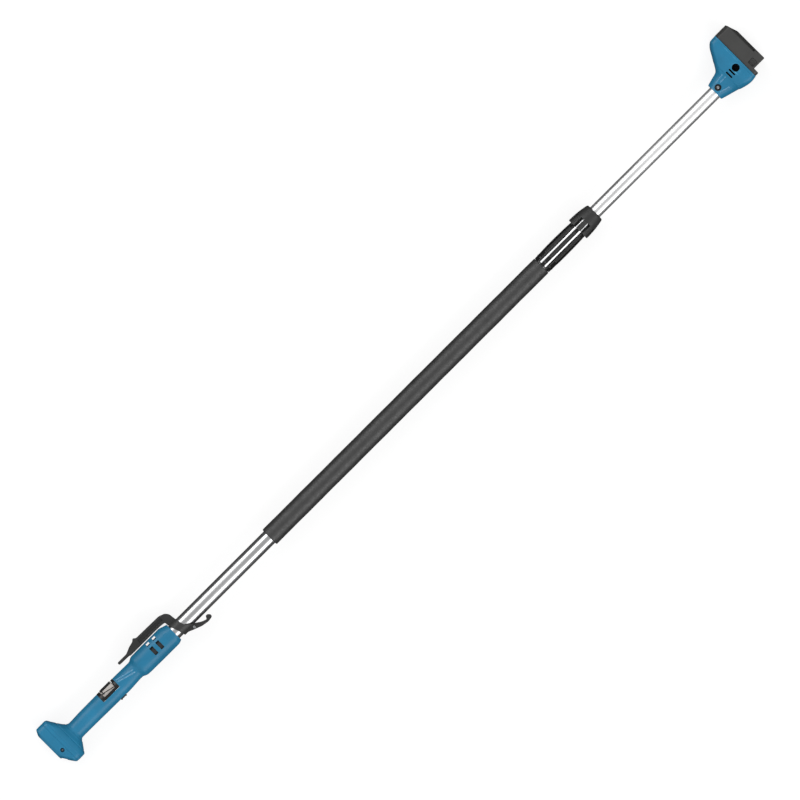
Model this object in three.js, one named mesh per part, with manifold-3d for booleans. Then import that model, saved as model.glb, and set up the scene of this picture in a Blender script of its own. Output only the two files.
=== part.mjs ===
// Telescopic pole unit of a battery hedge trimmer, lying on its side.
// Millimetres. +X runs along the pole from the battery foot to the plug that the cutter
// head slides onto, +Y is the trigger side, +Z is the side that faces up.
// The origin is on the pole's axis, in the plane of the battery seat.
import * as THREE from "three";
import { mergeVertices } from "three/addons/utils/BufferGeometryUtils.js";
import Module from "manifold-3d";

const wasm = await Module();
wasm.setup();

// ---------------------------------------------------------------- driving dimensions

const WALL = 2.6; // moulded shells
const GAP = 0.3; // between touching pieces

// Cross-sections of the handle: [x, top, bottom, half width, corner height, corner width].
const HANDLE = [
  [-9, 46.3, -18.5, 34, 12, 12],
  [-6, 52.5, -23, 36, 13, 13],
  [-2, 58, -28.5, 37.5, 14, 13],
  [5, 58.3, -39, 37.5, 14, 13],
  [12, 58.3, -46.7, 37.5, 14, 13],
  [21, 58.3, -46.9, 37.5, 14, 13],
  [30, 46.4, -46.7, 33, 16, 15],
  [37.5, 35.2, -38, 27, 17, 17],
  [44, 26.5, -29.2, 21.5, 17, 17],
  [51.6, 20.6, -20.2, 17.9, 19, 17],
  [56, 20.2, -19.6, 17.3, 19, 17],
  [86, 21.2, -19.7, 17.4, 20, 17.3],
  [121, 21.5, -20.1, 17.5, 20, 17.4],
  [185, 22.3, -20.6, 17.7, 21, 17.6],
  [225.7, 21.7, -18.8, 17.8, 20, 17.6],
  [239, 26.8, -23.4, 22.2, 23, 20.6],
  [253, 27.1, -24, 23.2, 23.5, 21],
  [317, 27.2, -24.2, 23.2, 23.5, 21],
  [327, 24.4, -24.1, 22.8, 22, 20],
  [336, 21.5, -20.8, 20.4, 19, 18],
];
const SEAT = { x: 2.4, top: 18, faceTop: 3.6, bottom: -29, halfZ: 24.7 };
const BLOCK = { top: 46, bottom: 18.4, x0: -7, x1: 14 };
const BLADE_Z = 11;

const WINDOW = { x0: 134, x1: 180, y: 0 };
const FRAME = { left: 7.3, right: 6, bottom: 6.3 }; // widths of the trigger's bezel
const TRIGGER = { x0: 142, x1: 172.6, halfY: 22.9, halfZ: 14.2, pivotX: 147, pivotY: 12 };
const STEM = { x0: 159, x1: 163 };
const LOCK = { x0: 163, x1: 178, halfZ: 5 };
const SWITCH = { x0: 140.5, stepX: 166.5, x1: 179, halfY: 6, halfZ: 8 };

const TUBE = { r: 16.5, bore: 15, x0: 262, x1: 1521 };
const INNER = { r: 14, bore: 12.5, x0: 1000, x1: 1914 };
const FOAM = { r: 20.8, x0: 611, x1: 1395 };
const CLEAR_BORE = 16.8; // what slides or turns on the outer tube
const SLEEVE = { r: 20.1, neckR: 18.9, x0: 1395.4, neckX: 1499, x1: 1522 };
const NUT = { r: 26, tipR: 20.9, bore: 19.4, tipBore: 14.4, coneR: 16.5, x0: 1499.4, x1: 1549 };
const SLOT = { count: 8, turn: THREE.MathUtils.degToRad(68.5), halfWidth: 3.6, neckHalfWidth: 4.2 };
const CABLE = { r: 2.5, coilR: 9, turns: 16, y: -4.5 };
const HOOK = { halfZ: 9, collarR: 20.2, bore: 16.9, screwX: 373, screwY: -21.8 };

// Cross-sections of the head, in the same order as the handle's.
const HEAD = [
  [1895, 20.8, -19.6, 19.2, 19.4, 18.9],
  [1910, 25, -24, 20.2, 20, 18.5],
  [1924, 29, -27.7, 22.4, 18, 16],
  [1935.5, 44.6, -31, 27.6, 16, 15],
  [1941, 53.6, -32.8, 30, 15, 14],
  [1953.7, 74, -36, 35.5, 14, 13],
  [1963, 80.9, -37.2, 37.5, 13, 12],
  [1976, 81.8, -35.6, 37.5, 12, 12],
];
const PLUG = { x0: 1976.3, x1: 2015, top: 82, halfZ: 34, recessX: 1980.2, recessY: -0.9 };
const CHEEK_Z = 31; // sides of the plug beside its latch
const BRIDGE_X = 2003; // underside of the plug's face in front of its latch
const RAIL = { x0: 2008.6, x1: 2013.1, neckZ: 25, plateauZ: 30 };
const CONTACT_Z = [-12, 0, 12];

const SCREW = { r: 1.6, headR: 3.4, bossR: 3.6 };
const WASHER = 1;
const TOUCH = 0.1; // between a washer and what it lies against
const SCREWS = [
  { name: "foot_screw", x: 6.3, y: -9.3, side: 1, seat: 28, reach: 18, recessR: 4.4 },
  { name: "grip_screw_1", x: 92, y: -6, side: -1, seat: 11.5, reach: 11, recessR: 3.9 },
  { name: "grip_screw_2", x: 200, y: -10, side: -1, seat: 10.5, reach: 10, recessR: 3.9 },
  { name: "body_screw", x: 270, y: 4, side: -1, seat: 19, reach: 18, recessR: 3.9 },
  { name: "head_screw_1", x: 1906, y: 2.9, side: 1, seat: 16, reach: 15.5, recessR: 7.2, washerR: 6.8 },
  { name: "head_screw_2", x: 1959.6, y: 6, side: 1, seat: 12, reach: 16, recessR: 8.3, washerR: 7.9 },
  { name: "head_screw_3", x: 1962, y: 60, side: -1, seat: 24, reach: 16, recessR: 3.9 },
];

// ---------------------------------------------------------------- materials

const plastic = (color, roughness) => new THREE.MeshStandardMaterial({ color, roughness, metalness: 0 });
const metal = (color, roughness) => new THREE.MeshStandardMaterial({ color, roughness, metalness: 1 });
const BLUE = plastic(0x32799e, 0.38);
const BLACK = plastic(0x2c2c2b, 0.45);
const GLOSS_BLACK = plastic(0x1c1c1c, 0.25);
const CHARCOAL = plastic(0x4d4d4c, 0.5);
const TAUPE = plastic(0x8a837d, 0.5);
const FOAM_GREY = plastic(0x3a3a3a, 0.9);
const RUBBER = plastic(0x171717, 0.7);
const NATURAL = plastic(0xe6e2d6, 0.5);
const RED = plastic(0xa02018, 0.5);
const ALUMINIUM = metal(0xd6d8da, 0.3);
const STEEL = metal(0x8b8d90, 0.35);
const BRASS = metal(0xc79a4b, 0.35);

// ---------------------------------------------------------------- shape helpers

// A three.js geometry as a manifold solid, turned to face outwards.
function toSolid(geometry) {
  const flat = geometry.index ? geometry.toNonIndexed() : geometry;
  const bare = new THREE.BufferGeometry().setAttribute("position", flat.getAttribute("position"));
  const merged = mergeVertices(bare, 1e-4);
  const triangles = [];
  for (let i = 0; i < merged.index.count; i += 3) {
    const [a, b, c] = merged.index.array.slice(i, i + 3);
    if (a !== b && b !== c && c !== a) triangles.push(a, b, c);
  }
  const vertProperties = merged.attributes.position.array;
  const make = (list) =>
    new wasm.Manifold(new wasm.Mesh({ numProp: 3, vertProperties, triVerts: new Uint32Array(list) }));
  const made = make(triangles);
  return made.volume() > 0 ? made : make(triangles.reverse());
}

// A solid as a named mesh.
function piece(name, material, solid) {
  const { vertProperties, triVerts } = solid.getMesh();
  const geometry = new THREE.BufferGeometry()
    .setAttribute("position", new THREE.BufferAttribute(vertProperties, 3))
    .setIndex(new THREE.BufferAttribute(triVerts, 1));
  geometry.computeVertexNormals();
  const mesh = new THREE.Mesh(geometry, material);
  mesh.name = name;
  return mesh;
}

const join = (...solids) => solids.reduce((a, b) => a.add(b));
const cut = (solid, ...tools) => tools.reduce((a, b) => a.subtract(b), solid);
const common = (...solids) => solids.reduce((a, b) => a.intersect(b));

// A box from two opposite corners.
function box([x0, y0, z0], [x1, y1, z1]) {
  const geometry = new THREE.BoxGeometry(Math.abs(x1 - x0), Math.abs(y1 - y0), Math.abs(z1 - z0));
  return toSolid(geometry.translate((x0 + x1) / 2, (y0 + y1) / 2, (z0 + z1) / 2));
}

// A round bar or hole along the pole.
function barX(r, x0, x1, y = 0, z = 0, segments = 32) {
  const geometry = new THREE.CylinderGeometry(r, r, x1 - x0, segments).rotateZ(-Math.PI / 2);
  return toSolid(geometry.translate((x0 + x1) / 2, y, z));
}

// A round bar or hole across the pole.
function barZ(r, x, y, z0, z1, segments = 16) {
  const geometry = new THREE.CylinderGeometry(r, r, Math.abs(z1 - z0), segments).rotateX(Math.PI / 2);
  return toSolid(geometry.translate(x, y, (z0 + z1) / 2));
}

// A pipe along the pole.
const pipeX = (r, bore, x0, x1) => cut(barX(r, x0, x1), barX(bore, x0 - 1, x1 + 1));

// A closed profile of [x, radius] points, turned about the pole's axis.
function turned(profile) {
  const points = profile.map(([x, r]) => new THREE.Vector2(r, x));
  return toSolid(new THREE.LatheGeometry([...points, points[0]], 32).rotateZ(-Math.PI / 2));
}

const extrude = (outline, depth) =>
  new THREE.ExtrudeGeometry(new THREE.Shape(outline.map(([a, b]) => new THREE.Vector2(a, b))), {
    depth,
    bevelEnabled: false,
  });

// A flat outline of [x, y] points from z0 to z1.
const plateZ = (outline, z0, z1) => toSolid(extrude(outline, z1 - z0).translate(0, 0, z0));

// A flat outline of [y, z] points from x0 to x1.
function plateX(outline, x0, x1) {
  const axes = [new THREE.Vector3(0, 1, 0), new THREE.Vector3(0, 0, 1), new THREE.Vector3(1, 0, 0)];
  const turn = new THREE.Matrix4().makeBasis(...axes);
  return toSolid(extrude(outline, x1 - x0).applyMatrix4(turn).translate(x0, 0, 0));
}

// A round wire through a list of points.
function wire(points, radius, steps, sides = 3) {
  const circle = new THREE.Shape().absarc(0, 0, radius, 0, Math.PI * 2);
  const path = new THREE.CatmullRomCurve3(points.map((p) => new THREE.Vector3(...p)));
  return toSolid(new THREE.ExtrudeGeometry(circle, { steps, extrudePath: path, curveSegments: sides }));
}

// Points of a helix: toPoint turns (distance along, across, across) into [x, y, z].
function helix(length, radius, turns, perTurn, toPoint) {
  return Array.from({ length: turns * perTurn + 1 }, (_, i) => {
    const a = (i / perTurn) * Math.PI * 2;
    return toPoint((length * i) / (turns * perTurn), -radius * Math.cos(a), radius * Math.sin(a));
  });
}

// A coil spring along X or Y, its wire's centre line starting at a point.
function spring(axis, [x, y, z], length, radius, wireR, turns) {
  const toPoint = axis === "x" ? (d, a, b) => [x + d, y + a, z + b] : (d, a, b) => [x + a, y + d, z + b];
  return wire(helix(length, radius, turns, 8, toPoint), wireR, turns * 8);
}

// One cross-section of a shell: a rounded rectangle with elliptical corners.
const CORNER_STEPS = 5;
function ring([x, top, bottom, halfZ, cornerY, cornerZ], inset) {
  const high = top - inset;
  const low = bottom + inset;
  const half = halfZ - inset;
  const ry = Math.min(cornerY, (high - low) / 2);
  const rz = Math.min(cornerZ, half);
  const centres = [
    [high - ry, half - rz],
    [low + ry, half - rz],
    [low + ry, rz - half],
    [high - ry, rz - half],
  ];
  return centres.flatMap(([y, z], quarter) =>
    Array.from({ length: CORNER_STEPS + 1 }, (_, i) => {
      const a = ((quarter + i / CORNER_STEPS) * Math.PI) / 2;
      return [x, y + ry * Math.cos(a), z + rz * Math.sin(a)];
    }),
  );
}

// A solid skinned over cross-sections along the pole.
function loft(sections, inset = 0) {
  const rings = sections.map((section) => ring(section, inset));
  const count = rings[0].length;
  const middle = (points) => [0, 1, 2].map((k) => points.reduce((sum, p) => sum + p[k], 0) / count);
  const positions = [...rings.flat(), middle(rings[0]), middle(rings.at(-1))].flat();
  const index = [];
  for (let s = 0; s + 1 < rings.length; s++)
    for (let i = 0; i < count; i++) {
      const a = s * count + i;
      const b = s * count + ((i + 1) % count);
      index.push(a, b, a + count, b, b + count, a + count);
    }
  const last = (rings.length - 1) * count;
  const hub = rings.length * count;
  for (let i = 0; i < count; i++) {
    const j = (i + 1) % count;
    index.push(hub, j, i, hub + 1, last + i, last + j);
  }
  const positionAttribute = new THREE.Float32BufferAttribute(positions, 3);
  return toSolid(new THREE.BufferGeometry().setAttribute("position", positionAttribute).setIndex(index));
}

// The part of a list of cross-sections between two places along the pole.
function between(sections, x0, x1) {
  const at = (x) => {
    const next = sections.findIndex((s) => s[0] >= x);
    const [a, b] = [sections[Math.max(next - 1, 0)], sections[next]];
    const t = a === b ? 0 : (x - a[0]) / (b[0] - a[0]);
    return a.map((v, k) => v + (b[k] - v) * t);
  };
  return [at(x0), ...sections.filter((s) => s[0] > x0 && s[0] < x1), at(x1)];
}

// A half-round tunnel or lump of oval section.
const oval = (x0, x1, halfY, halfZ) =>
  loft([x0, x1].map((x) => [x, halfY, -halfY, halfZ, halfY, halfZ]));

const FAR = 100;
const HALVES = { right: [0, FAR], left: [-FAR, 0] };

// The right or left half of a moulding split along the pole.
function half(solid, side, x0, x1) {
  const [z0, z1] = HALVES[side];
  return common(solid, box([x0, -FAR, z0], [x1, FAR, z1]));
}

// ---------------------------------------------------------------- screws

// A cross-head screw: its head sits in a recess on one side of the split plane.
function screwSolid({ x, y, side, seat, reach, washerR }) {
  const under = washerR ? seat + WASHER + 2 * TOUCH : seat;
  const profile = [
    [0, -reach],
    [SCREW.r, 1.5 - reach],
    [SCREW.r, under],
    [SCREW.headR, under],
    [SCREW.headR - 0.5, under + 2.4],
    [0, under + 2.4],
  ];
  const lathe = new THREE.LatheGeometry(profile.map((p) => new THREE.Vector2(...p)), 12);
  const body = toSolid(lathe.rotateX((side * Math.PI) / 2).translate(x, y, 0));
  const slot = (dx, dy) => box([x - dx, y - dy, side * (under + 1)], [x + dx, y + dy, side * (under + 4)]);
  return cut(body, slot(2, 0.5), slot(0.5, 2));
}

// The washer under a screw's head, at the bottom of its recess.
function washerSolid({ x, y, side, seat, washerR }) {
  const low = side * (seat + TOUCH);
  const high = side * (seat + TOUCH + WASHER);
  return cut(barZ(washerR, x, y, low, high, 24), barZ(SCREW.r + 0.3, x, y, -FAR, FAR));
}

// The pillar that a screw needs inside a shell.
function screwBoss({ x, y, side, seat, recessR }) {
  const pillar = barZ(SCREW.bossR, x, y, -FAR, FAR);
  return join(pillar, barZ(recessR + 1.6, x, y, side * (seat - 2.4), side * FAR, 24));
}

// The hole and the recess that a screw needs.
function screwHole({ x, y, side, seat, reach, recessR }) {
  const shaft = barZ(SCREW.r + 0.2, x, y, -side * (reach + 1), side * seat);
  return join(shaft, barZ(recessR, x, y, side * seat, side * FAR, 24));
}

const screwsIn = (x0, x1) => SCREWS.filter(({ x }) => x > x0 && x < x1);

// ---------------------------------------------------------------- handle

// A wall across the inside of the handle, with a hole on the pole's axis.
function bulkhead(x0, x1, hole) {
  return cut(loft(between(HANDLE, x0, x1), 1), barX(hole, x0 - 1, x1 + 1));
}

function handleSolid() {
  const outside = loft(HANDLE);
  const cavity = loft(between(HANDLE, 4, 333), WALL);
  const tubeSeat = barX(TUBE.r + 0.15, TUBE.x0 - GAP, 340);
  const screws = screwsIn(-10, 340);
  const bosses = cut(common(outside, join(...screws.map(screwBoss))), tubeSeat);
  const ribs = [144, 154].map((x) => box([x, -17, -12], [x + 3, -SWITCH.halfY - GAP, 12]));
  const switchRibs = common(loft(between(HANDLE, 140, 160), 1), join(...ribs));
  const walls = [bulkhead(255, 261.7, 10), bulkhead(308, 312, TUBE.r + 0.15)];
  const shell = join(cut(outside, cavity, tubeSeat), bosses, switchRibs, ...walls);
  const ventsAt = (x) => [
    box([x, -7.3, -FAR], [x + 8.4, 12.4, -TUBE.r - 2]),
    box([x, -7.3, TUBE.r + 2], [x + 8.4, 12.4, FAR]),
    box([x, 17.5, -FAR], [x + 8.4, FAR, -7]),
    box([x, 17.5, 7], [x + 8.4, FAR, FAR]),
  ];
  return cut(
    shell,
    box([-12, -FAR, -25.5], [-4.9, 48, 25.5]),
    box([-5, -FAR, -31], [0, 48, 31]),
    box([-12, -FAR, -31], [-4.9, -20, 31]),
    box([-1, SEAT.bottom - GAP, -25], [4.1, BLOCK.top + GAP, 25]),
    box([WINDOW.x0, WINDOW.y, -FAR], [WINDOW.x1, FAR, FAR]),
    box([LOCK.x0 - 0.5, -FAR, -LOCK.halfZ - 0.5], [LOCK.x1 + 0.5, -10, LOCK.halfZ + 0.5]),
    ...ventsAt(276.7),
    ...ventsAt(293.8),
    ...screws.map(screwHole),
  );
}

// The plate that the battery's face lands on, clipped into the foot's floor. It steps down
// behind the contact blades.
function seatSolid() {
  const { x, top, faceTop, bottom, halfZ } = SEAT;
  const clips = [bottom + 2, 6].flatMap((y) =>
    [-1, 1].flatMap((side) => [
      box([x - 0.5, y, side * 21], [6.5, y + 8, side * halfZ]),
      box([4.4, y, side * 21], [6.5, y + 8, side * 28]),
    ]),
  );
  const plate = join(box([0, bottom, -halfZ], [x, top, halfZ]), ...clips);
  const step = box([-1, faceTop, -halfZ - 1], [0.8, top + 1, halfZ + 1]);
  return cut(plate, step, box([-1, -25, -7], [1.8, -18, 7]));
}

// A contact blade: it stands in the battery slot and bends back through the block.
const bladeSolid = (z) =>
  plateZ([[-5, 4], [-1.2, 4], [-1.2, 20.6], [18, 20.6], [18, 24], [-5, 24]], z - 0.4, z + 0.4);

function blockSolid() {
  const { top, bottom, x0, x1 } = BLOCK;
  const body = join(
    box([x0, bottom, -SEAT.halfZ], [x1, top, SEAT.halfZ]),
    box([4.4, bottom, -28], [6.5, top + 2.5, 28]),
  );
  const pockets = [-BLADE_Z, 0, BLADE_Z].map((z) =>
    plateZ(
      [[-5.2, 17], [-1, 17], [-1, 20.4], [19, 20.4], [19, 24.2], [-5.2, 24.2]],
      z - 0.6,
      z + 0.6,
    ),
  );
  return cut(body, ...pockets);
}

// ---------------------------------------------------------------- trigger and switch

function bezelSolid() {
  const outside = loft(between(HANDLE, WINDOW.x0 + GAP, WINDOW.x1 - GAP), -0.3);
  const above = box([WINDOW.x0, WINDOW.y + GAP, -FAR], [WINDOW.x1, FAR, FAR]);
  const inside = loft(between(HANDLE, WINDOW.x0 - 1, WINDOW.x1 + 1), WALL);
  const { left, right, bottom } = FRAME;
  const opening = box([WINDOW.x0 + left, WINDOW.y + bottom, -FAR], [WINDOW.x1 - right, FAR, FAR]);
  return cut(common(outside, above), inside, opening);
}

const padOutline = (inset) =>
  box([143.5 + inset, 15, -8.4 + inset], [171.2 - inset, FAR, 8.4 - inset]);

function triggerSolid() {
  const { x0, x1, halfY, halfZ, pivotX, pivotY } = TRIGGER;
  const side = plateZ([[x0, 5.5], [x1, 3], [x1, 30], [x0, 30]], -FAR, FAR);
  const hollow = oval(x0 + 2.2, x1 - 2.2, halfY - 2.6, halfZ - 2.6);
  const overSwitch = box([x0 - 1, 0, -8.6], [x1 + 1, 7, 8.6]);
  const stem = box([STEM.x0, 3, -2], [STEM.x1, halfY - 2, 2]);
  const padSeat = cut(padOutline(0), oval(140, 176, halfY - 1.3, halfZ - 1.3));
  const paddle = cut(common(oval(x0, x1, halfY, halfZ), side), hollow, overSwitch, padSeat);
  // Fins close the gaps at the trigger's two ends.
  const fins = [box([x0 - 2.5, 7.2, -1.5], [x0 + 1, 17.2, 1.5]), box([x1 - 1, 4, -1.5], [x1 + 3, 17.2, 1.5])];
  return cut(join(paddle, stem, ...fins), barZ(1.7, pivotX, pivotY, -FAR, FAR));
}

function triggerPadSolid() {
  const { halfY, halfZ } = TRIGGER;
  const layer = cut(oval(140, 176, halfY + 0.4, halfZ + 0.4), oval(139, 177, halfY - 1.1, halfZ - 1.1));
  return common(layer, padOutline(0.2));
}

function switchSolid() {
  const { x0, stepX, x1, halfY, halfZ } = SWITCH;
  const { pivotX, pivotY } = TRIGGER;
  const lug = box([pivotX - 2.2, 0, -3], [pivotX + 2.3, pivotY + 2.5, 3]);
  const ledge = box([x0, -halfY, -halfZ], [x1, -1.6, halfZ]);
  const body = join(box([x0, -halfY, -halfZ], [stepX, halfY, halfZ]), ledge, lug);
  const stemWell = box([STEM.x0 - 2.5, -1, -2.6], [STEM.x1 + 2.9, 9, 2.6]);
  return cut(body, barZ(1.7, pivotX, pivotY, -9, 9), stemWell);
}

function lockButtonSolid() {
  const { x0, x1, halfZ } = LOCK;
  const top = [[x0 + 1, -23.4], [x0 + 4.5, -22], [170.5, -22.5], [x1 - 4.5, -22], [x1 - 1, -23.4]];
  const profile = [[x0, -13], [x0, -22.6], ...top, [x1, -22.6], [x1, -13]];
  return join(plateZ(profile, -halfZ, halfZ), box([x0 - 2.5, -14.2, -6.2], [x1 + 2.5, -12.8, 6.2]));
}

// ---------------------------------------------------------------- tubes and cable

function outerTubeSolid() {
  const { x, y } = SCREWS.find(({ name }) => name === "body_screw");
  return cut(pipeX(TUBE.r, TUBE.bore, TUBE.x0, TUBE.x1), barZ(1.9, x, y, -20, 20));
}

function innerTubeSolid() {
  const { x, y } = SCREWS.find(({ name }) => name === "head_screw_1");
  return cut(pipeX(INNER.r, INNER.bore, INNER.x0, INNER.x1), barZ(1.9, x, y, -20, 20));
}

// The lead from the switch, coiled inside the outer tube so that the pole can extend.
function coiledCableSolid() {
  const coil = helix(625, CABLE.coilR, CABLE.turns, 8, (d, a, b) => [345 + d, a, b]);
  const lead = [
    [179.4, -3.8, 0], [205, -3, 0], [235, -3.5, 0], [265, -6.5, 0], [300, -7.5, 0], [325, -8.5, -1],
  ];
  return wire([...lead, ...coil, [984, -7, 2], [998, CABLE.y, 0]], CABLE.r, 190);
}

// The lead from the coil through the inner tube to the plug's contacts.
function tubeCableSolid() {
  const bend = [[1929, -4.5, 0], [1936, -3.5, 0], [1944, 8, 0], [1952, 22, 0], [1968, 34, 0], [1990, 37, 0]];
  return join(barX(CABLE.r, 999, 1930, CABLE.y, 0, 8), wire(bend, CABLE.r - 0.1, 14));
}

// ---------------------------------------------------------------- collet and lock nut

// Radial slots from one place to another along the pole.
function slots(x0, x1, halfWidth) {
  return Array.from({ length: SLOT.count }, (_, i) => {
    const a = SLOT.turn + (i / SLOT.count) * Math.PI * 2;
    const slot = new THREE.BoxGeometry(x1 - x0, 20, halfWidth * 2);
    return toSolid(slot.translate((x0 + x1) / 2, 22, 0).rotateX(a));
  });
}

function sleeveSolid() {
  const { r, neckR, x0, neckX, x1 } = SLEEVE;
  const profile = [
    [x0, CLEAR_BORE],
    [x0, r - 0.6],
    [x0 + 1.5, r],
    [1440, r + 1],
    [neckX - 6, r],
    [neckX, r - 0.6],
    [neckX, neckR],
    [x1, neckR],
    [x1, CLEAR_BORE],
  ];
  const fingers = slots(x0 + 3, neckX, SLOT.halfWidth);
  return cut(turned(profile), ...fingers, ...slots(neckX - 0.5, x1 + 1, SLOT.neckHalfWidth));
}

function nutSolid() {
  const { r, tipR, bore, tipBore, coneR, x0, x1 } = NUT;
  const profile = [
    [x0, bore],
    [x0, r - 1],
    [x0 + 1.5, r],
    [x0 + 24, r - 1],
    [x1 - 4, tipR + 0.8],
    [x1, tipR - 2],
    [x1, tipBore],
    [x1 - 3, tipBore],
    [x1 - 3, coneR],
    [1523, bore],
  ];
  return cut(turned(profile), ...slots(x0 - 1, 1522.5, SLOT.neckHalfWidth));
}

// The split wedge ring that grips the inner tube.
const colletRingSolid = () =>
  cut(turned([[1524, 14.2], [1524, 18.6], [1545, 16], [1545, 14.2]]), box([1520, 0, -1], [1550, 30, 1]));

// ---------------------------------------------------------------- hook

// Side outline of the bracket: belt tongue, arm over the handle, web, hook below the pole.
const HOOK_OUTLINE = [
  [210, 31], [236, 30.4], [241, 28.7], [322, 28.7], [337, 27], [337, 20], [341, 5.9], [347.2, -15.8],
  [368, -24.5], [386.8, -31.6], [402.5, -34], [413.5, -32], [415, -26.8], [409.6, -21.3], [405, -22],
  [402.5, -28.4], [391.5, -24.4], [376, -14.2], [362.5, -3.2], [357, 15.8], [355, 33], [349, 40.7],
  [336.5, 45.4], [272, 46.6], [266.7, 51.4], [262.4, 46.4], [250, 43.5], [236, 37.3], [210, 37.3],
];
const COLLAR_OUTLINE = [
  [337, 20], [341, 5.9], [347.2, -15.8], [348, -20], [381, -20], [376, -14.2], [362.5, -3.2], [357, 20],
];

function hookSolid() {
  const band = common(
    plateZ(COLLAR_OUTLINE, -21, 21),
    barX(HOOK.collarR, 330, 390),
  );
  const arm = plateZ(HOOK_OUTLINE, -HOOK.halfZ, HOOK.halfZ);
  const recess = plateZ([[272, 41.5], [336, 40.5], [336, 34], [272, 34]], 6.5, 20);
  const hole = barZ(1.7, HOOK.screwX, HOOK.screwY, -FAR, FAR);
  return cut(join(band, arm), barX(HOOK.bore, 320, 420), recess, hole);
}

function hookScrewSolid() {
  const [x, y, z] = [HOOK.screwX, HOOK.screwY, HOOK.halfZ + 0.1];
  const body = join(barZ(1.5, x, y, -HOOK.halfZ, z + 1, 12), barZ(3.2, x, y, z, z + 2.6, 12));
  return cut(body, barZ(1.4, x, y, z + 1, z + 5, 6));
}

// ---------------------------------------------------------------- head and plug

function headSolid() {
  const outside = loft(HEAD);
  const cavity = loft([...between(HEAD, 1917.5, 1976), [1980, ...HEAD.at(-1).slice(1)]], WALL);
  const tubeSeat = barX(INNER.r + 0.2, 1890, INNER.x1 + GAP);
  const screws = screwsIn(1890, 1980);
  const bosses = cut(common(outside, join(...screws.map(screwBoss))), tubeSeat);
  const clampRib = common(outside, box([1918.5, -40, -8], [1927.5, -10.3, 8]));
  const shell = join(cut(outside, cavity, tubeSeat), bosses, clampRib);
  const vents = [1938, 1946].flatMap((x) =>
    [-1, 1].map((side) => box([x, -3.3, side * 18], [x + 3.6, 13.6, side * FAR])),
  );
  return cut(shell, barX(8, 1900, 1920), ...vents, ...screws.map(screwHole));
}

// The block that holds the cable, with two cheeks that screen the vents.
function cableGuideSolid() {
  const cheeks = [-1, 1].map((side) => box([1919, -10, side * 4.5], [1953, 16, side * 7.5]));
  const block = box([1919, -10, -5], [1927, 1, 5]);
  return cut(join(block, ...cheeks), barX(CABLE.r + 0.2, 1910, 1935, CABLE.y, 0, 8));
}

function plugSolid() {
  const { x0, x1, top, halfZ, recessX, recessY } = PLUG;
  const side = [
    [x0, -34.6], [1983.6, -34.6], [1985, -33.2], [1985, -21.7], [2014, -21.7], [x1, -20.5],
    [x1, 55], [x1 - 1, 59], [2006.4, top], [x0, top],
  ];
  const recess = [
    box([recessX, -21.7, -CHEEK_Z], [BRIDGE_X, recessY, CHEEK_Z]),
    box([1985, -17, -FAR], [1998.4, -3.5, FAR]),
    box([BRIDGE_X - 1, -17.6, -8.6], [2020, -6.4, 8.6]),
  ];
  const footprint = [
    [-34.6, -29], [-29, -halfZ], [75.5, -halfZ], [top, -20],
    [top, 20], [75.5, halfZ], [-29, halfZ], [-34.6, 29],
  ];
  const body = common(plateZ(side, -halfZ, halfZ), plateX(footprint, x0, x1));
  const rim = HEAD.at(-1).slice(1);
  const tongue = loft([[1971, ...rim], [x0 + 0.5, ...rim]], WALL + 2 * GAP);
  const post = box([recessX - 1, -14, -4], [1993.6, -8, 4]);
  const rails = [-1, 1].flatMap((s) => [
    box([RAIL.x0, 3, s * RAIL.neckZ], [RAIL.x1, FAR, s * FAR]),
    box([RAIL.x1 - 0.1, -5, s * RAIL.plateauZ], [2020, FAR, s * FAR]),
  ]);
  const terminals = CONTACT_Z.flatMap((z) => [
    box([2003.5, 57, z - 1.9], [2020, FAR, z + 1.9]),
    box([1990, 57, z - 0.7], [2004, 59.7, z + 0.7]),
  ]);
  const hollow = box([1960, 2.5, -27], [1999.5, 75, 27]);
  return cut(join(cut(body, ...recess), tongue, post), hollow, ...rails, ...terminals);
}

// A spring contact: two leaves and a tab that reaches back to the cable.
function contactSolid(z) {
  const clip = [
    [57.4, z - 1.6], [74, z - 1.6], [74, z - 1], [59.4, z - 1],
    [59.4, z + 1], [74, z + 1], [74, z + 1.6], [57.4, z + 1.6],
  ];
  return join(plateX(clip, 2005, 2008.4), box([1996, 57.4, z - 0.4], [2006, 59.4, z + 0.4]));
}

function latchSolid() {
  const body = box([1984.6, -21.3, -CHEEK_Z + 0.5], [BRIDGE_X - 0.4, -1.4, CHEEK_Z - 0.5]);
  const tooth = plateZ([[2002, -17], [2010.5, -17], [2014, -9.5], [2014, -7], [2002, -7]], -8, 8);
  const pads = [-1, 1].map((side) => box([1989.4, -16.5, side * 30], [1998, -4, side * 33.4]));
  const guide = box([1980, -14.4, -4.4], [1998, -7.6, 4.4]);
  return cut(join(body, tooth, ...pads), guide, barX(3.4, 1980, 1996, -11, 16, 16));
}

// ---------------------------------------------------------------- assembly

const handle = handleSolid();
const head = headSolid();

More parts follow.
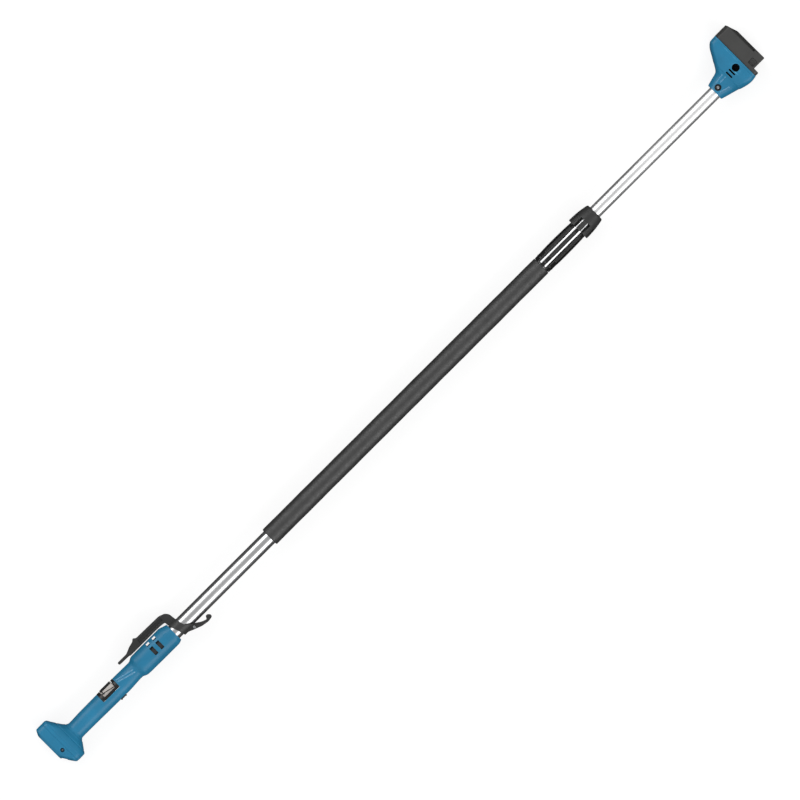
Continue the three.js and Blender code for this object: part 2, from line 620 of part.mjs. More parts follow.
const parts = [
  piece("handle_shell_right", BLUE, half(handle, "right", -20, 340)),
  piece("handle_shell_left", BLUE, half(handle, "left", -20, 340)),
  piece("battery_seat", BLACK, seatSolid()),
  piece("terminal_block", BLACK, blockSolid()),
  piece("power_blade_positive", BRASS, bladeSolid(BLADE_Z)),
  piece("power_blade_negative", BRASS, bladeSolid(-BLADE_Z)),
  piece("signal_blade", BRASS, bladeSolid(0)),
  piece("switch_body", BLACK, switchSolid()),
  piece("trigger_bezel", GLOSS_BLACK, bezelSolid()),
  piece("trigger", TAUPE, triggerSolid()),
  piece("trigger_pad", RUBBER, triggerPadSolid()),
  piece("trigger_pin", STEEL, barZ(1.5, TRIGGER.pivotX, TRIGGER.pivotY, -11.3, 11.3, 12)),
  piece("trigger_spring", STEEL, spring("y", [153.1, 6.7, 0], 11.6, 3, 0.5, 5)),
  piece("lock_off_button", BLACK, lockButtonSolid()),
  piece("lock_off_spring", STEEL, spring("y", [170.5, -12.2, 0], 5.6, 2.6, 0.4, 3)),
  ...[
    ["wire_red", RED, 1],
    ["wire_black", RUBBER, -1],
  ].map(([name, material, side]) => {
    const path = [
      [18.4, 22.2, side * BLADE_Z],
      [30, 18, side * 10.5],
      [44, 8, side * 8.5],
      [62, 4, side * 6],
      [100, 5, side * 5],
      [140.2, 2, side * 4],
    ];
    return piece(name, material, wire(path, 1.2, 18));
  }),
  piece("coiled_cable", RUBBER, coiledCableSolid()),
  piece("outer_tube", ALUMINIUM, outerTubeSolid()),
  piece("tube_sleeve", RUBBER, pipeX(19.3, CLEAR_BORE, 276, 307)),
  piece("foam_grip", FOAM_GREY, pipeX(FOAM.r, CLEAR_BORE, FOAM.x0, FOAM.x1)),
  piece("collet_sleeve", CHARCOAL, sleeveSolid()),
  piece("collet_ring", NATURAL, colletRingSolid()),
  piece("lock_nut", CHARCOAL, nutSolid()),
  piece("inner_tube", ALUMINIUM, innerTubeSolid()),
  piece("guide_bush", NATURAL, pipeX(14.8, 14.2, INNER.x0 + 1, INNER.x0 + 31)),
  piece("tube_cable", RUBBER, tubeCableSolid()),
  piece("hook_bracket", BLACK, hookSolid()),
  piece("hook_screw", STEEL, hookScrewSolid()),
  piece("head_shell_right", BLUE, half(head, "right", 1890, 1980)),
  piece("head_shell_left", BLUE, half(head, "left", 1890, 1980)),
  piece("cable_guide", BLACK, cableGuideSolid()),
  piece("plug_body", CHARCOAL, plugSolid()),
  ...CONTACT_Z.map((z, i) => piece(`plug_contact_${i + 1}`, BRASS, contactSolid(z))),
  piece("plug_latch", CHARCOAL, latchSolid()),
  piece("latch_spring", STEEL, spring("x", [1980.9, -11, 16], 14.4, 2.6, 0.45, 6)),
  ...SCREWS.map((s) => piece(s.name, STEEL, screwSolid(s))),
  piece("head_washer_1", RUBBER, washerSolid(SCREWS.find(({ name }) => name === "head_screw_1"))),
  piece("head_washer_2", RUBBER, washerSolid(SCREWS.find(({ name }) => name === "head_screw_2"))),
];

const group = new THREE.Group();
group.name = "hedge_trimmer_pole";
group.add(...parts);

export default group;
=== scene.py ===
import math

import bmesh
import bpy
from mathutils import Matrix, Vector


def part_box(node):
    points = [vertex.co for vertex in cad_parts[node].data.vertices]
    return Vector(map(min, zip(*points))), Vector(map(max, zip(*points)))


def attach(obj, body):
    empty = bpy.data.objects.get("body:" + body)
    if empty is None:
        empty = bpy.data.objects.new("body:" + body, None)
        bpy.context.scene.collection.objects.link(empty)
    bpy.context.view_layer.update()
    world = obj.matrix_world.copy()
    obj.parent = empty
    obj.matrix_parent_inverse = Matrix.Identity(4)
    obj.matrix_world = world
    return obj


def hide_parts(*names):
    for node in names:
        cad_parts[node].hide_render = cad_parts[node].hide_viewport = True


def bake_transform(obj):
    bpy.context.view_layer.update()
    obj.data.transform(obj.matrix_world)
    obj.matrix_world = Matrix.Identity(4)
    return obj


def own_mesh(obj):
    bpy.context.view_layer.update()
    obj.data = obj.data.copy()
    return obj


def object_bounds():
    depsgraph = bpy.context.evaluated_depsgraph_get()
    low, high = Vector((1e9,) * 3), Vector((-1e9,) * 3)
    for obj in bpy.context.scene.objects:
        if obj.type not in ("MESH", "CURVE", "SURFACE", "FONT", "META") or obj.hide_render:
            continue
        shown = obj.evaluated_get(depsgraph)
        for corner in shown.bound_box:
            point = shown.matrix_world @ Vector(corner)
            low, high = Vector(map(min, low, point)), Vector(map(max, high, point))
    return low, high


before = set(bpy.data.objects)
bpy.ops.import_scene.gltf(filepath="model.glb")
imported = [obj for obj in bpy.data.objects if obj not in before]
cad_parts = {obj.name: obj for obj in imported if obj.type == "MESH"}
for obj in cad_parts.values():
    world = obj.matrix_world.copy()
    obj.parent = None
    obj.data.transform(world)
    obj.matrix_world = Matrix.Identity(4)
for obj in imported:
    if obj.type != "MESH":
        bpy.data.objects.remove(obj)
cad_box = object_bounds()
MM = 0.001


def link(obj):
    bpy.context.collection.objects.link(obj)
    return obj


def span(node):
    """Lowest and highest corner of a CAD node, in millimetres."""
    low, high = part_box(node)
    return [v / MM for v in low], [v / MM for v in high]


def centre(node):
    """The axis across the pole of an upright CAD node."""
    low, high = span(node)
    return (low[0] + high[0]) / 2, (low[1] + high[1]) / 2


# ------ camera and light

VIEW_CENTRE = (0.997, 0.0098)
VIEW_WIDTH = 1.632
VIEW_TURN = math.radians(-44.94)
CAMERA_HEIGHT = 30.0
SENSOR_MM = 36
FLOOR_Z = cad_box[0][2]
FLOOR_REACH = 9.0

camera = link(bpy.data.objects.new("camera", bpy.data.cameras.new("camera")))
camera.location = (*VIEW_CENTRE, CAMERA_HEIGHT)
camera.rotation_euler = (0, 0, VIEW_TURN)
camera.data.sensor_width = SENSOR_MM
camera.data.lens = SENSOR_MM * CAMERA_HEIGHT / VIEW_WIDTH
bpy.context.scene.camera = camera


def softbox(name, side, power):
    """A wide soft light on one side of the pole, aimed at its middle."""
    light = bpy.data.lights.new(name, "AREA")
    light.shape = "RECTANGLE"
    light.size, light.size_y = 5.0, 2.4
    light.energy = power
    holder = link(bpy.data.objects.new(name, light))
    holder.location = (1.0, 3.3 * side, 2.5)
    direction = Vector((1.0, 0, 0)) - holder.location
    holder.rotation_euler = direction.to_track_quat("-Z", "Y").to_euler()


def plain(tree, kind, shade, strength=None):
    """A grey shader of one kind."""
    node = tree.nodes.new(kind)
    node.inputs["Color"].default_value = (shade, shade, shade, 1)
    if strength is not None:
        node.inputs["Strength"].default_value = strength
    return node.outputs[0]


def split_rays(tree, seen, other, surface):
    """Gives the camera one shader and every other ray another."""
    choice = tree.nodes.new("ShaderNodeMixShader")
    paths = tree.nodes.new("ShaderNodeLightPath")
    tree.links.new(paths.outputs["Is Camera Ray"], choice.inputs["Fac"])
    tree.links.new(other, choice.inputs[1])
    tree.links.new(seen, choice.inputs[2])
    tree.links.new(choice.outputs["Shader"], surface)


def make_world():
    """A pale studio that is dim near the horizon, so that bright pieces keep dark outlines."""
    world = bpy.data.worlds.new("studio")
    world.use_nodes = True
    tree = world.node_tree
    direction = tree.nodes.new("ShaderNodeTexCoord").outputs["Generated"]
    parts = tree.nodes.new("ShaderNodeSeparateXYZ")
    ramp = tree.nodes.new("ShaderNodeValToRGB")
    stops = ((0.0, 0.02), (0.22, 0.08), (0.36, 0.55), (0.8, 0.7), (1.0, 0.46))
    ramp.color_ramp.elements[1].position = stops[-1][0]
    for place, _ in stops[1:-1]:
        ramp.color_ramp.elements.new(place)
    for element, (place, shade) in zip(ramp.color_ramp.elements, stops):
        element.position = place
        element.color = (shade, shade, shade, 1)
    tree.links.new(direction, parts.inputs["Vector"])
    tree.links.new(parts.outputs["Z"], ramp.inputs["Fac"])
    tree.links.new(ramp.outputs["Color"], tree.nodes["Background"].inputs["Color"])
    paper = plain(tree, "ShaderNodeBackground", 0.93, 1.0)
    studio = tree.nodes["Background"].outputs["Background"]
    split_rays(tree, paper, studio, tree.nodes["World Output"].inputs["Surface"])
    bpy.context.scene.world = world


softbox("softbox_front", -1, 92)
softbox("softbox_back", 1, 80)
make_world()
bpy.context.scene.view_settings.view_transform = "Standard"

# ------ materials


class Nodes:
    """A small builder for one material's nodes."""

    def __init__(self, name, colour, roughness, metallic=0.0, specular=0.5):
        self.material = bpy.data.materials.new(name)
        self.material.use_nodes = True
        self.tree = self.material.node_tree
        self.shader = self.tree.nodes["Principled BSDF"]
        values = {"Base Color": (*colour, 1), "Roughness": roughness, "Metallic": metallic}
        for socket, value in (values | {"Specular IOR Level": specular}).items():
            self.shader.inputs[socket].default_value = value
        self.coordinates = self.tree.nodes.new("ShaderNodeTexCoord").outputs["Object"]

    def stretched(self, factors):
        """Object coordinates scaled along X, Y and Z."""
        mapping = self.tree.nodes.new("ShaderNodeMapping")
        mapping.inputs["Scale"].default_value = factors
        self.tree.links.new(self.coordinates, mapping.inputs["Vector"])
        return mapping.outputs["Vector"]

    def noise(self, size_mm, detail=3.0, vector=None):
        """A noise whose features are about size_mm across."""
        node = self.tree.nodes.new("ShaderNodeTexNoise")
        node.inputs["Scale"].default_value = 1 / (size_mm * MM)
        node.inputs["Detail"].default_value = detail
        self.tree.links.new(vector or self.coordinates, node.inputs["Vector"])
        return node.outputs["Fac"]

    def voronoi(self, size_mm):
        """Rounded cells about size_mm across."""
        node = self.tree.nodes.new("ShaderNodeTexVoronoi")
        node.inputs["Scale"].default_value = 1 / (size_mm * MM)
        self.tree.links.new(self.coordinates, node.inputs["Vector"])
        return node.outputs["Distance"]

    def ramp(self, value, low, high, start=0.3, end=0.7):
        """Turns a value into a colour or a number between two given ones."""
        node = self.tree.nodes.new("ShaderNodeValToRGB")
        for element, place, shade in zip(node.color_ramp.elements, (start, end), (low, high)):
            element.position = place
            element.color = (*shade, 1) if isinstance(shade, tuple) else (shade, shade, shade, 1)
        self.tree.links.new(value, node.inputs["Fac"])
        return node.outputs["Color"]

    def mixed(self, factor, a, b):
        """Colour a where the factor is 0, colour b where it is 1."""
        node = self.tree.nodes.new("ShaderNodeMix")
        node.data_type = "RGBA"
        for socket, value in (("Factor_Float", factor), ("A_Color", a), ("B_Color", b)):
            target = next(s for s in node.inputs if s.identifier == socket)
            if isinstance(value, bpy.types.NodeSocket):
                self.tree.links.new(value, target)
            else:
                target.default_value = (*value, 1)
        return next(s for s in node.outputs if s.identifier == "Result_Color")

    def edges(self, start=0.52, end=0.6):
        """1 on sharp outer edges, 0 elsewhere."""
        geometry = self.tree.nodes.new("ShaderNodeNewGeometry")
        return self.ramp(geometry.outputs["Pointiness"], 0.0, 1.0, start, end)

    def set(self, socket, value):
        """Joins a value to one of the material's own inputs."""
        self.tree.links.new(value, self.shader.inputs[socket])

    def bump(self, height, distance_mm, strength=1.0):
        """Raises the surface by a height pattern."""
        node = self.tree.nodes.new("ShaderNodeBump")
        node.inputs["Distance"].default_value = distance_mm * MM
        node.inputs["Strength"].default_value = strength
        self.tree.links.new(height, node.inputs["Height"])
        self.set("Normal", node.outputs["Normal"])


def shaded(colour, factor):
    return tuple(c * factor for c in colour)


def moulded(name, colour, roughness, grain_mm=0.9, edge_wear_and_highlight=None, specular=0.4):
    """Injection-moulded plastic: fine grain, faint clouding and, where an edge colour is given, lighter
    outer edges, partly rubbed wear and partly a painted edge highlight.
    """
    n = Nodes(name, colour, roughness, specular=specular)
    cloud = n.ramp(n.noise(60, 4), shaded(colour, 0.9), shaded(colour, 1.1))
    # Lighter sharp edges: partly rubbed wear, partly a painted edge highlight.
    n.set("Base Color", n.mixed(n.edges(), cloud, edge_wear_and_highlight) if edge_wear_and_highlight else cloud)
    scuffs = n.noise(9, 6, n.stretched((0.35, 1, 1)))
    n.set("Roughness", n.ramp(scuffs, max(roughness - 0.07, 0.05), min(roughness + 0.1, 1.0)))
    n.bump(n.noise(grain_mm, 2), 0.05, 0.5)
    return n.material


def drawn_tube(name, colour, roughness):
    """Drawn aluminium: fine lines along the tube, patches of duller surface."""
    n = Nodes(name, colour, roughness, metallic=1.0)
    lines = n.noise(0.8, 2, n.stretched((0.01, 1, 1)))
    n.set("Base Color", n.ramp(lines, shaded(colour, 0.93), colour))
    patches = n.noise(45, 5, n.stretched((0.3, 1, 1)))
    n.set("Roughness", n.ramp(patches, roughness - 0.06, roughness + 0.1))
    n.bump(lines, 0.01, 0.4)
    return n.material


def foam(name, colour):
    """Closed-cell foam: pitted skin, patchy and dull."""
    n = Nodes(name, colour, 0.5, specular=0.8)
    patches = n.ramp(n.noise(14, 5), shaded(colour, 0.72), shaded(colour, 1.3))
    n.set("Base Color", n.mixed(n.ramp(n.voronoi(1.6), 0.0, 0.35), patches, shaded(colour, 0.5)))
    n.set("Roughness", n.ramp(n.noise(5, 3), 0.42, 0.6))
    n.bump(n.voronoi(1.6), 0.25, 0.8)
    return n.material


def turned_metal(name, colour, roughness):
    """Plated or stamped metal with fine scratches."""
    n = Nodes(name, colour, roughness, metallic=1.0)
    n.set("Base Color", n.ramp(n.noise(3, 4), shaded(colour, 0.8), shaded(colour, 1.1)))
    n.set("Roughness", n.ramp(n.noise(1.2, 4), roughness - 0.1, roughness + 0.12))
    n.bump(n.noise(0.4, 2), 0.01, 0.5)
    return n.material


# Only pieces with small faces get lighter edges, partly rubbed wear and partly a painted edge
# highlight: the lightening is spread from corner to corner.
BLUE = moulded("blue_housing", (0.019, 0.19, 0.345), 0.34, edge_wear_and_highlight=(0.09, 0.36, 0.56), specular=0.3)
# The ribs' blue is lighter than the housing's: a painted highlight along the ribs.
BLUE_RIB_PAINTED_HIGHLIGHT = moulded("blue_rib_painted_highlight", (0.05, 0.24, 0.42), 0.2, edge_wear_and_highlight=(0.16, 0.46, 0.66), specular=0.7)
BLACK = moulded("black_plastic", (0.017, 0.017, 0.017), 0.42, edge_wear_and_highlight=(0.08, 0.08, 0.078))
GLOSS = moulded("gloss_black", (0.010, 0.010, 0.010), 0.22, grain_mm=2.0, edge_wear_and_highlight=(0.05, 0.05, 0.05))
CHARCOAL = moulded("charcoal_plastic", (0.031, 0.031, 0.031), 0.45, edge_wear_and_highlight=(0.14, 0.14, 0.138))
PLAIN_BLACK = moulded("plain_black", (0.02, 0.02, 0.02), 0.42)
PLAIN_CHARCOAL = moulded("plain_charcoal", (0.05, 0.05, 0.049), 0.45)
TAUPE = moulded("taupe_plastic", (0.52, 0.48, 0.45), 0.45, edge_wear_and_highlight=(0.62, 0.59, 0.56))
NATURAL = moulded("natural_plastic", (0.72, 0.68, 0.58), 0.5, edge_wear_and_highlight=(0.8, 0.77, 0.7))
RUBBER = moulded("black_rubber", (0.010, 0.010, 0.010), 0.7, grain_mm=0.6, edge_wear_and_highlight=(0.03, 0.03, 0.03))
RED = moulded("red_insulation", (0.36, 0.02, 0.012), 0.45, edge_wear_and_highlight=(0.5, 0.05, 0.03))
FOAM = foam("foam_grip", (0.023, 0.023, 0.023))
SILVER = drawn_tube("silver_tube", (0.64, 0.645, 0.65), 0.26)
BRIGHT = drawn_tube("bright_tube", (0.95, 0.952, 0.955), 0.4)
STEEL = turned_metal("steel", (0.42, 0.43, 0.44), 0.32)
# Near-black steel for the screw deep in the head's recess: painted shade.
STEEL_PAINTED_SHADE = turned_metal("steel_painted_shade", (0.035, 0.035, 0.036), 0.4)
BRASS = turned_metal("contact_brass", (0.70, 0.49, 0.20), 0.28)

# ------ mesh helpers

FAR = 150.0


def mesh_object(name, vertices, faces):
    """An object from vertices in millimetres, welded, with its faces turned outwards."""
    mesh = bpy.data.meshes.new(name)
    mesh.from_pydata([(x * MM, y * MM, z * MM) for x, y, z in vertices], [], faces)
    welded = bmesh.new()
    welded.from_mesh(mesh)
    bmesh.ops.remove_doubles(welded, verts=welded.verts, dist=1e-6)
    bmesh.ops.dissolve_degenerate(welded, edges=welded.edges, dist=1e-7)
    bmesh.ops.recalc_face_normals(welded, faces=welded.faces)
    welded.to_mesh(mesh)
    welded.free()
    return link(bpy.data.objects.new(name, mesh))


def skin(name, rings, closed=True):
    """A solid skinned over rings of points, capped at its two ends unless it closes on itself."""
    count = len(rings[0])
    vertices = [p for points in rings for p in points]
    faces = []
    pairs = list(zip(range(len(rings)), range(1, len(rings))))
    if not closed:
        pairs.append((len(rings) - 1, 0))
    for a, b in pairs:
        for i in range(count):
            j = (i + 1) % count
            faces.append((a * count + i, a * count + j, b * count + j, b * count + i))
    if closed:
        faces.append(tuple(range(count)))
        faces.append(tuple((len(rings) - 1) * count + i for i in range(count)))
    return mesh_object(name, vertices, faces)


def box(low, high):
    """A block between two corners."""
    return plate_x(rectangle(*low[1:], *high[1:]), low[0], high[0])


def plate_z(outline, z0, z1):
    """A flat outline of (x, y) points from z0 to z1."""
    return skin("plate", [[(x, y, z) for x, y in outline] for z in (z0, z1)])


def plate_x(outline, x0, x1):
    """A flat outline of (y, z) points from x0 to x1."""
    return skin("plate", [[(x, y, z) for y, z in outline] for x in (x0, x1)])


def plate_y(outline, y0, y1):
    """A flat outline of (x, z) points from y0 to y1."""
    return skin("plate", [[(x, y, z) for x, z in outline] for y in (y0, y1)])


def circle(radius, segments):
    angles = [2 * math.pi * i / segments for i in range(segments)]
    return [(radius * math.cos(a), radius * math.sin(a)) for a in angles]


def bar_x(radius, x0, x1, y=0.0, z=0.0, segments=64):
    return plate_x([(y + a, z + b) for a, b in circle(radius, segments)], x0, x1)


def bar_z(radius, x, y, z0, z1, segments=32):
    return plate_z([(x + a, y + b) for a, b in circle(radius, segments)], z0, z1)


def turned_x(name, profile, segments=96):
    """A closed profile of (x, radius) points turned about the pole's axis."""
    rings = [
        [(x, r * math.cos(a), r * math.sin(a)) for x, r in profile]
        for a in (2 * math.pi * i / segments for i in range(segments))
    ]
    return skin(name, rings, closed=False)


def turned_z(name, profile, x, y, side=1, segments=32):
    """A profile of (height, radius) points turned about a line across the pole."""
    rings = [[(x + a, y + b, side * h) for a, b in circle(max(r, 1e-3), segments)] for h, r in profile]
    return skin(name, rings)


def rod(name, points, radius, segments=20):
    """A round rod along a list of points, with domed ends."""
    path = [Vector(p) for p in points]
    first = (path[0] - path[1]).normalized()
    final = (path[-1] - path[-2]).normalized()
    dome = [k * math.pi / 10 for k in range(1, 5)]
    stops = [(path[0] + first * radius * math.cos(a), radius * math.sin(a), -first) for a in dome]
    for i, point in enumerate(path):
        along = path[min(i + 1, len(path) - 1)] - path[max(i - 1, 0)]
        stops.append((point, radius, along.normalized()))
    stops += [
        (path[-1] + final * radius * math.cos(a), radius * math.sin(a), final) for a in reversed(dome)
    ]
    rings = []
    for point, here, along in stops:
        across = along.cross(Vector((0, 0, 1)))
        across = (across if across.length > 0.1 else Vector((0, 1, 0))).normalized()
        up = across.cross(along)
        rings.append([point + across * a + up * b for a, b in circle(here, segments)])
    return skin(name, rings)


def rectangle(x0, y0, x1, y1):
    return [(x0, y0), (x1, y0), (x1, y1), (x0, y1)]


def rounded(outline, radius, steps=4):
    """The outline with its corners cut to short curves."""
    points = []
    count = len(outline)
    for i, corner in enumerate(outline):
        here = Vector(corner)
        before = Vector(outline[i - 1]) - here
        after = Vector(outline[(i + 1) % count]) - here
        start = here + before.normalized() * min(radius, before.length * 0.45)
        end = here + after.normalized() * min(radius, after.length * 0.45)
        for k in range(steps + 1):
            t = k / steps
            points.append(tuple(start * (1 - t) ** 2 + here * 2 * t * (1 - t) + end * t**2))
    return points


def duplicate(obj):
    """A copy with its own mesh."""
    twin = obj.copy()
    twin.data = obj.data.copy()
    return link(twin)


def baked(obj):
    """Applies the object's modifiers."""
    bpy.context.view_layer.update()
    evaluated = obj.evaluated_get(bpy.context.evaluated_depsgraph_get())
    mesh = bpy.data.meshes.new_from_object(evaluated)
    obj.modifiers.clear()
    obj.data = mesh
    return obj


def combine(obj, operation, tools):
    """Joins tools to a solid, cuts them out of it, or keeps what they share with it."""
    for tool in tools:
        modifier = obj.modifiers.new("carve", "BOOLEAN")
        modifier.operation = operation
        modifier.solver = "MANIFOLD"
        modifier.object = tool
    baked(obj)
    for tool in tools:
        bpy.data.objects.remove(tool)
    return obj


def cut(obj, *tools):
    return combine(obj, "DIFFERENCE", tools)


def join(obj, *tools):
    return combine(obj, "UNION", tools)


def common(obj, *tools):
    return combine(obj, "INTERSECT", tools)


def merged(obj, distance_mm):
    """Closes up the tiny edges that cutting leaves."""
    mesh = bmesh.new()
    mesh.from_mesh(obj.data)
    bmesh.ops.remove_doubles(mesh, verts=mesh.verts, dist=distance_mm * MM)
    bmesh.ops.dissolve_degenerate(mesh, edges=mesh.edges, dist=1e-6)
    mesh.to_mesh(obj.data)
    mesh.free()


def planar(obj):
    """Makes each flat face of a cut solid one face again."""
    mesh = bmesh.new()
    mesh.from_mesh(obj.data)
    bmesh.ops.dissolve_limit(mesh, angle_limit=math.radians(0.5), verts=mesh.verts, edges=mesh.edges)
    mesh.to_mesh(obj.data)
    mesh.free()


def chamfer(obj, edge_mm, segments):
    """Takes off sharp edges."""
    bevel = obj.modifiers.new("edges", "BEVEL")
    bevel.width = edge_mm * MM
    bevel.segments = segments
    bevel.limit_method = "ANGLE"
    bevel.angle_limit = math.radians(38)
    bevel.use_clamp_overlap = False


def ease_edges(obj, edge_mm, segments=2, flat=False):
    """Rounds off sharp edges; flat keeps the faces between them looking flat."""
    chamfer(obj, edge_mm, 1 if flat else segments)
    if flat:
        obj.modifiers.new("crisp", "EDGE_SPLIT").split_angle = math.radians(30)
    obj.modifiers.new("normals", "WEIGHTED_NORMAL").keep_sharp = not flat


def dress(obj, material):
    """Gives a piece its one material."""
    obj.data.materials.clear()
    obj.data.materials.append(material)


def show(obj, body, material, node="", edge_mm=0, segments=2, merge_mm=0.12, flat=False):
    """Makes a finished solid a piece of the object, riding a body and replacing a CAD node."""
    if node:
        obj.name = f"{node}_finish"
    merged(obj, 0.01 if flat else merge_mm)
    if flat:
        planar(obj)
    dress(obj, material)
    obj.data.shade_smooth()
    if flat:
        obj.data.shade_flat()
        chamfer(obj, edge_mm, 1)
    elif edge_mm:
        ease_edges(obj, edge_mm, segments)
    else:
        obj.data.set_sharp_from_angle(angle=math.radians(40))
    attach(obj, body)
    if node:
        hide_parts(node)


# ------ moulded shells

CORNER_STEPS = 9
FLAT_STEPS = 8


def monotone(xs, ys):
    """A smooth curve through points that never overshoots between them."""
    steps = [b - a for a, b in zip(xs, xs[1:])]
    slopes = [(b - a) / step for a, b, step in zip(ys, ys[1:], steps)]
    inner = [0 if p * q <= 0 else 2 * p * q / (p + q) for p, q in zip(slopes, slopes[1:])]
    tangents = [slopes[0], *inner, slopes[-1]]

    def at(x):
        i = max(k for k in range(len(steps)) if k == 0 or xs[k] <= x)
        t = (x - xs[i]) / steps[i]
        s = 1 - t
        bend = t * s * s * tangents[i] - t * t * s * tangents[i + 1]
        return (1 + 2 * t) * s * s * ys[i] + t * t * (3 - 2 * t) * ys[i + 1] + steps[i] * bend

    return at


def sections_at(sections):
    """Smooth cross-sections from some (x, top, bottom, half width, corner height, corner width)."""
    xs = [s[0] for s in sections]
    curves = [monotone(xs, [s[k] for s in sections]) for k in range(1, 6)]
    return lambda x: [curve(x) for curve in curves]


def ring(x, section, inset):
    """A rounded rectangle with elliptical corners across the pole."""
    top, bottom, half, corner_y, corner_z = section
    top, bottom, half = top - inset, bottom + inset, half - inset
    ry = min(corner_y, (top - bottom) / 2 - 0.02)
    rz = min(corner_z, half - 0.02)
    high, low, side = top - ry, bottom + ry, half - rz
    centres = [(high, side), (low, side), (low, -side), (high, -side)]
    corners = []
    for quarter, (y, z) in enumerate(centres):
        for i in range(CORNER_STEPS + 1):
            a = (quarter + i / CORNER_STEPS) * math.pi / 2
            corners.append((x, y + ry * math.cos(a), z + rz * math.sin(a)))
    points = []
    for i, point in enumerate(corners):
        points.append(point)
        if i % (CORNER_STEPS + 1) == CORNER_STEPS:
            following = corners[(i + 1) % len(corners)]
            for k in range(1, FLAT_STEPS):
                t = k / FLAT_STEPS
                points.append(tuple(a + (b - a) * t for a, b in zip(point, following)))
    return points


def stations(x0, x1, step, extra=()):
    count = max(int(round((x1 - x0) / step)), 1)
    regular = [x0 + (x1 - x0) * i / count for i in range(count + 1)]
    inside = [x for x in extra if x0 < x < x1]
    return sorted(inside + [x for x in regular if all(abs(x - e) > 0.35 for e in inside)])


def clear_of(xs, edges, keep=()):
    """Stations without those that nearly touch the edge of a hole to be cut."""
    ends = (xs[0], xs[-1])
    return [x for x in xs if x in ends or x in keep or all(abs(x - e) > 0.55 for e in edges)]


def hole_edges(names, places):
    """Where the recesses of screws and other holes begin and end along the pole."""
    edges = list(places)
    for name in names:
        x, recess = screw_place(name)[0], screw_place(name)[5]
        edges += [x - recess, x + recess]
    return edges


def loft(name, at, xs, inset=0.0, groove=lambda x: 0.0):
    return skin(name, [ring(x, at(x), inset + groove(x)) for x in xs])


def grooves(places, width, depth):
    """Stations and depth of narrow grooves round a shell."""
    extra = [p + f * width for p in places for f in (-0.5, -0.25, 0.25, 0.5)]
    return extra, lambda x: depth if any(abs(x - p) < 0.3 * width for p in places) else 0.0


HALVES = {"right": 1, "left": -1}
SEAM = 0.06


def keep_half(obj, side):
    """Keeps the half of a moulding on one side of its split plane."""
    z0, z1 = (SEAM, FAR) if side == "right" else (-FAR, -SEAM)
    common(obj, box((-60, -FAR, z0), (2100, FAR, z1)))


def surface_z(at, x, y):
    """Half width of a shell at a height."""
    top, bottom, half, corner_y, corner_z = at(x)
    ry = min(corner_y, (top - bottom) / 2)
    rz = min(corner_z, half)
    beyond = max(y - (top - ry), (bottom + ry) - y, 0.0)
    return half - rz + rz * math.sqrt(max(1 - (beyond / ry) ** 2, 0.0))


def surface_rib(at, start, end, radius, side, sink):
    """A rounded rib along a shell's surface between two (x, y) places."""
    steps = 14
    points = []
    for i in range(steps + 1):
        t = i / steps
        x = start[0] + (end[0] - start[0]) * t
        y = start[1] + (end[1] - start[1]) * t
        points.append((x, y, side * (surface_z(at, x, y) - sink * radius)))
    return rod("rib", points, radius)


def oval(name, x0, x1, half_y, half_z, rounding=0.0):
    """A lump of oval section, with its two ends rounded off."""
    ends = [(0.0, rounding), (0.3 * rounding, 0.35 * rounding), (rounding, 0)] if rounding else [(0, 0)]
    stops = [(x0 + along, inset) for along, inset in ends]
    stops += [(x1 - along, inset) for along, inset in reversed(ends)]
    return skin(name, [ring(x, [half_y, -half_y, half_z, half_y, half_z], inset) for x, inset in stops])


# ------ screws

# The side each screw's head is on, the radius of its recess and the washer under its head.
SCREWS = {
    "foot_screw": (1, 4.4, 0),
    "grip_screw_1": (-1, 3.9, 0),
    "grip_screw_2": (-1, 3.9, 0),
    "body_screw": (-1, 3.9, 0),
    "head_screw_1": (1, 7.2, 1.2),
    "head_screw_2": (1, 8.3, 1.2),
    "head_screw_3": (-1, 3.9, 0),
}
SCREW_RADIUS = 1.6
SCREW_HEAD = 2.4


def screw_place(name):
    """Axis of a screw, its side, the height under its head, its tip and its recess."""
    low, high = span(name)
    side, recess, _ = SCREWS[name]
    tip = high[2] if side > 0 else -low[2]
    reach = low[2] if side > 0 else -high[2]
    return *centre(name), side, tip - SCREW_HEAD, reach, recess


def cross_slot(x, y, bottom, top, side, wide=2.1, narrow=0.5):
    """The tapering cross in a screw's head."""
    arms = []
    for dx, dy in ((wide, narrow), (narrow, wide)):
        levels = ((bottom, 0.55), (top, 1.0))
        corners = rectangle(-dx, -dy, dx, dy)
        rings = [[(x + a * f, y + b * f, side * h) for a, b in corners] for h, f in levels]
        arms.append(skin("slot", rings))
    return arms


def make_screw(name, body, material=STEEL):
    """A screw with a domed head, its thread left smooth."""
    x, y, side, seat, reach, _ = screw_place(name)
    head = 3.4
    profile = [(reach, 0.1), (reach + 1.5, SCREW_RADIUS), (seat, SCREW_RADIUS), (seat, head)]
    profile += [(seat + 1.0, head), (seat + 1.8, head - 0.35), (seat + 2.25, head - 1.1)]
    profile.append((seat + SCREW_HEAD, 0.1))
    screw = turned_z(name, profile, x, y, side)
    cut(screw, *cross_slot(x, y, seat + 0.8, seat + 3, side))
    show(screw, body, material, name, edge_mm=0.15)


def make_washer(name, body):
    """A dished black washer filling the bottom of a recess; its black is painted shade on the recess's
    floor.
    """
    low, high = span(name)
    x, y = centre(name)
    r, h0, h1 = (high[0] - low[0]) / 2, low[2], high[2]
    profile = [(h0, r), (h1 - 0.35, r), (h1, r - 0.5), (h1, r - 1.5), (h1 - 0.4, r - 2.0)]
    profile.append((h1 - 0.4, 0.1))
    washer = turned_z(name, profile, x, y, segments=48)
    cut(washer, bar_z(SCREW_RADIUS + 0.3, x, y, -60, 60))
    # Black rubber: painted shade at the bottom of the recess.
    show(washer, body, RUBBER, name, edge_mm=0.1)


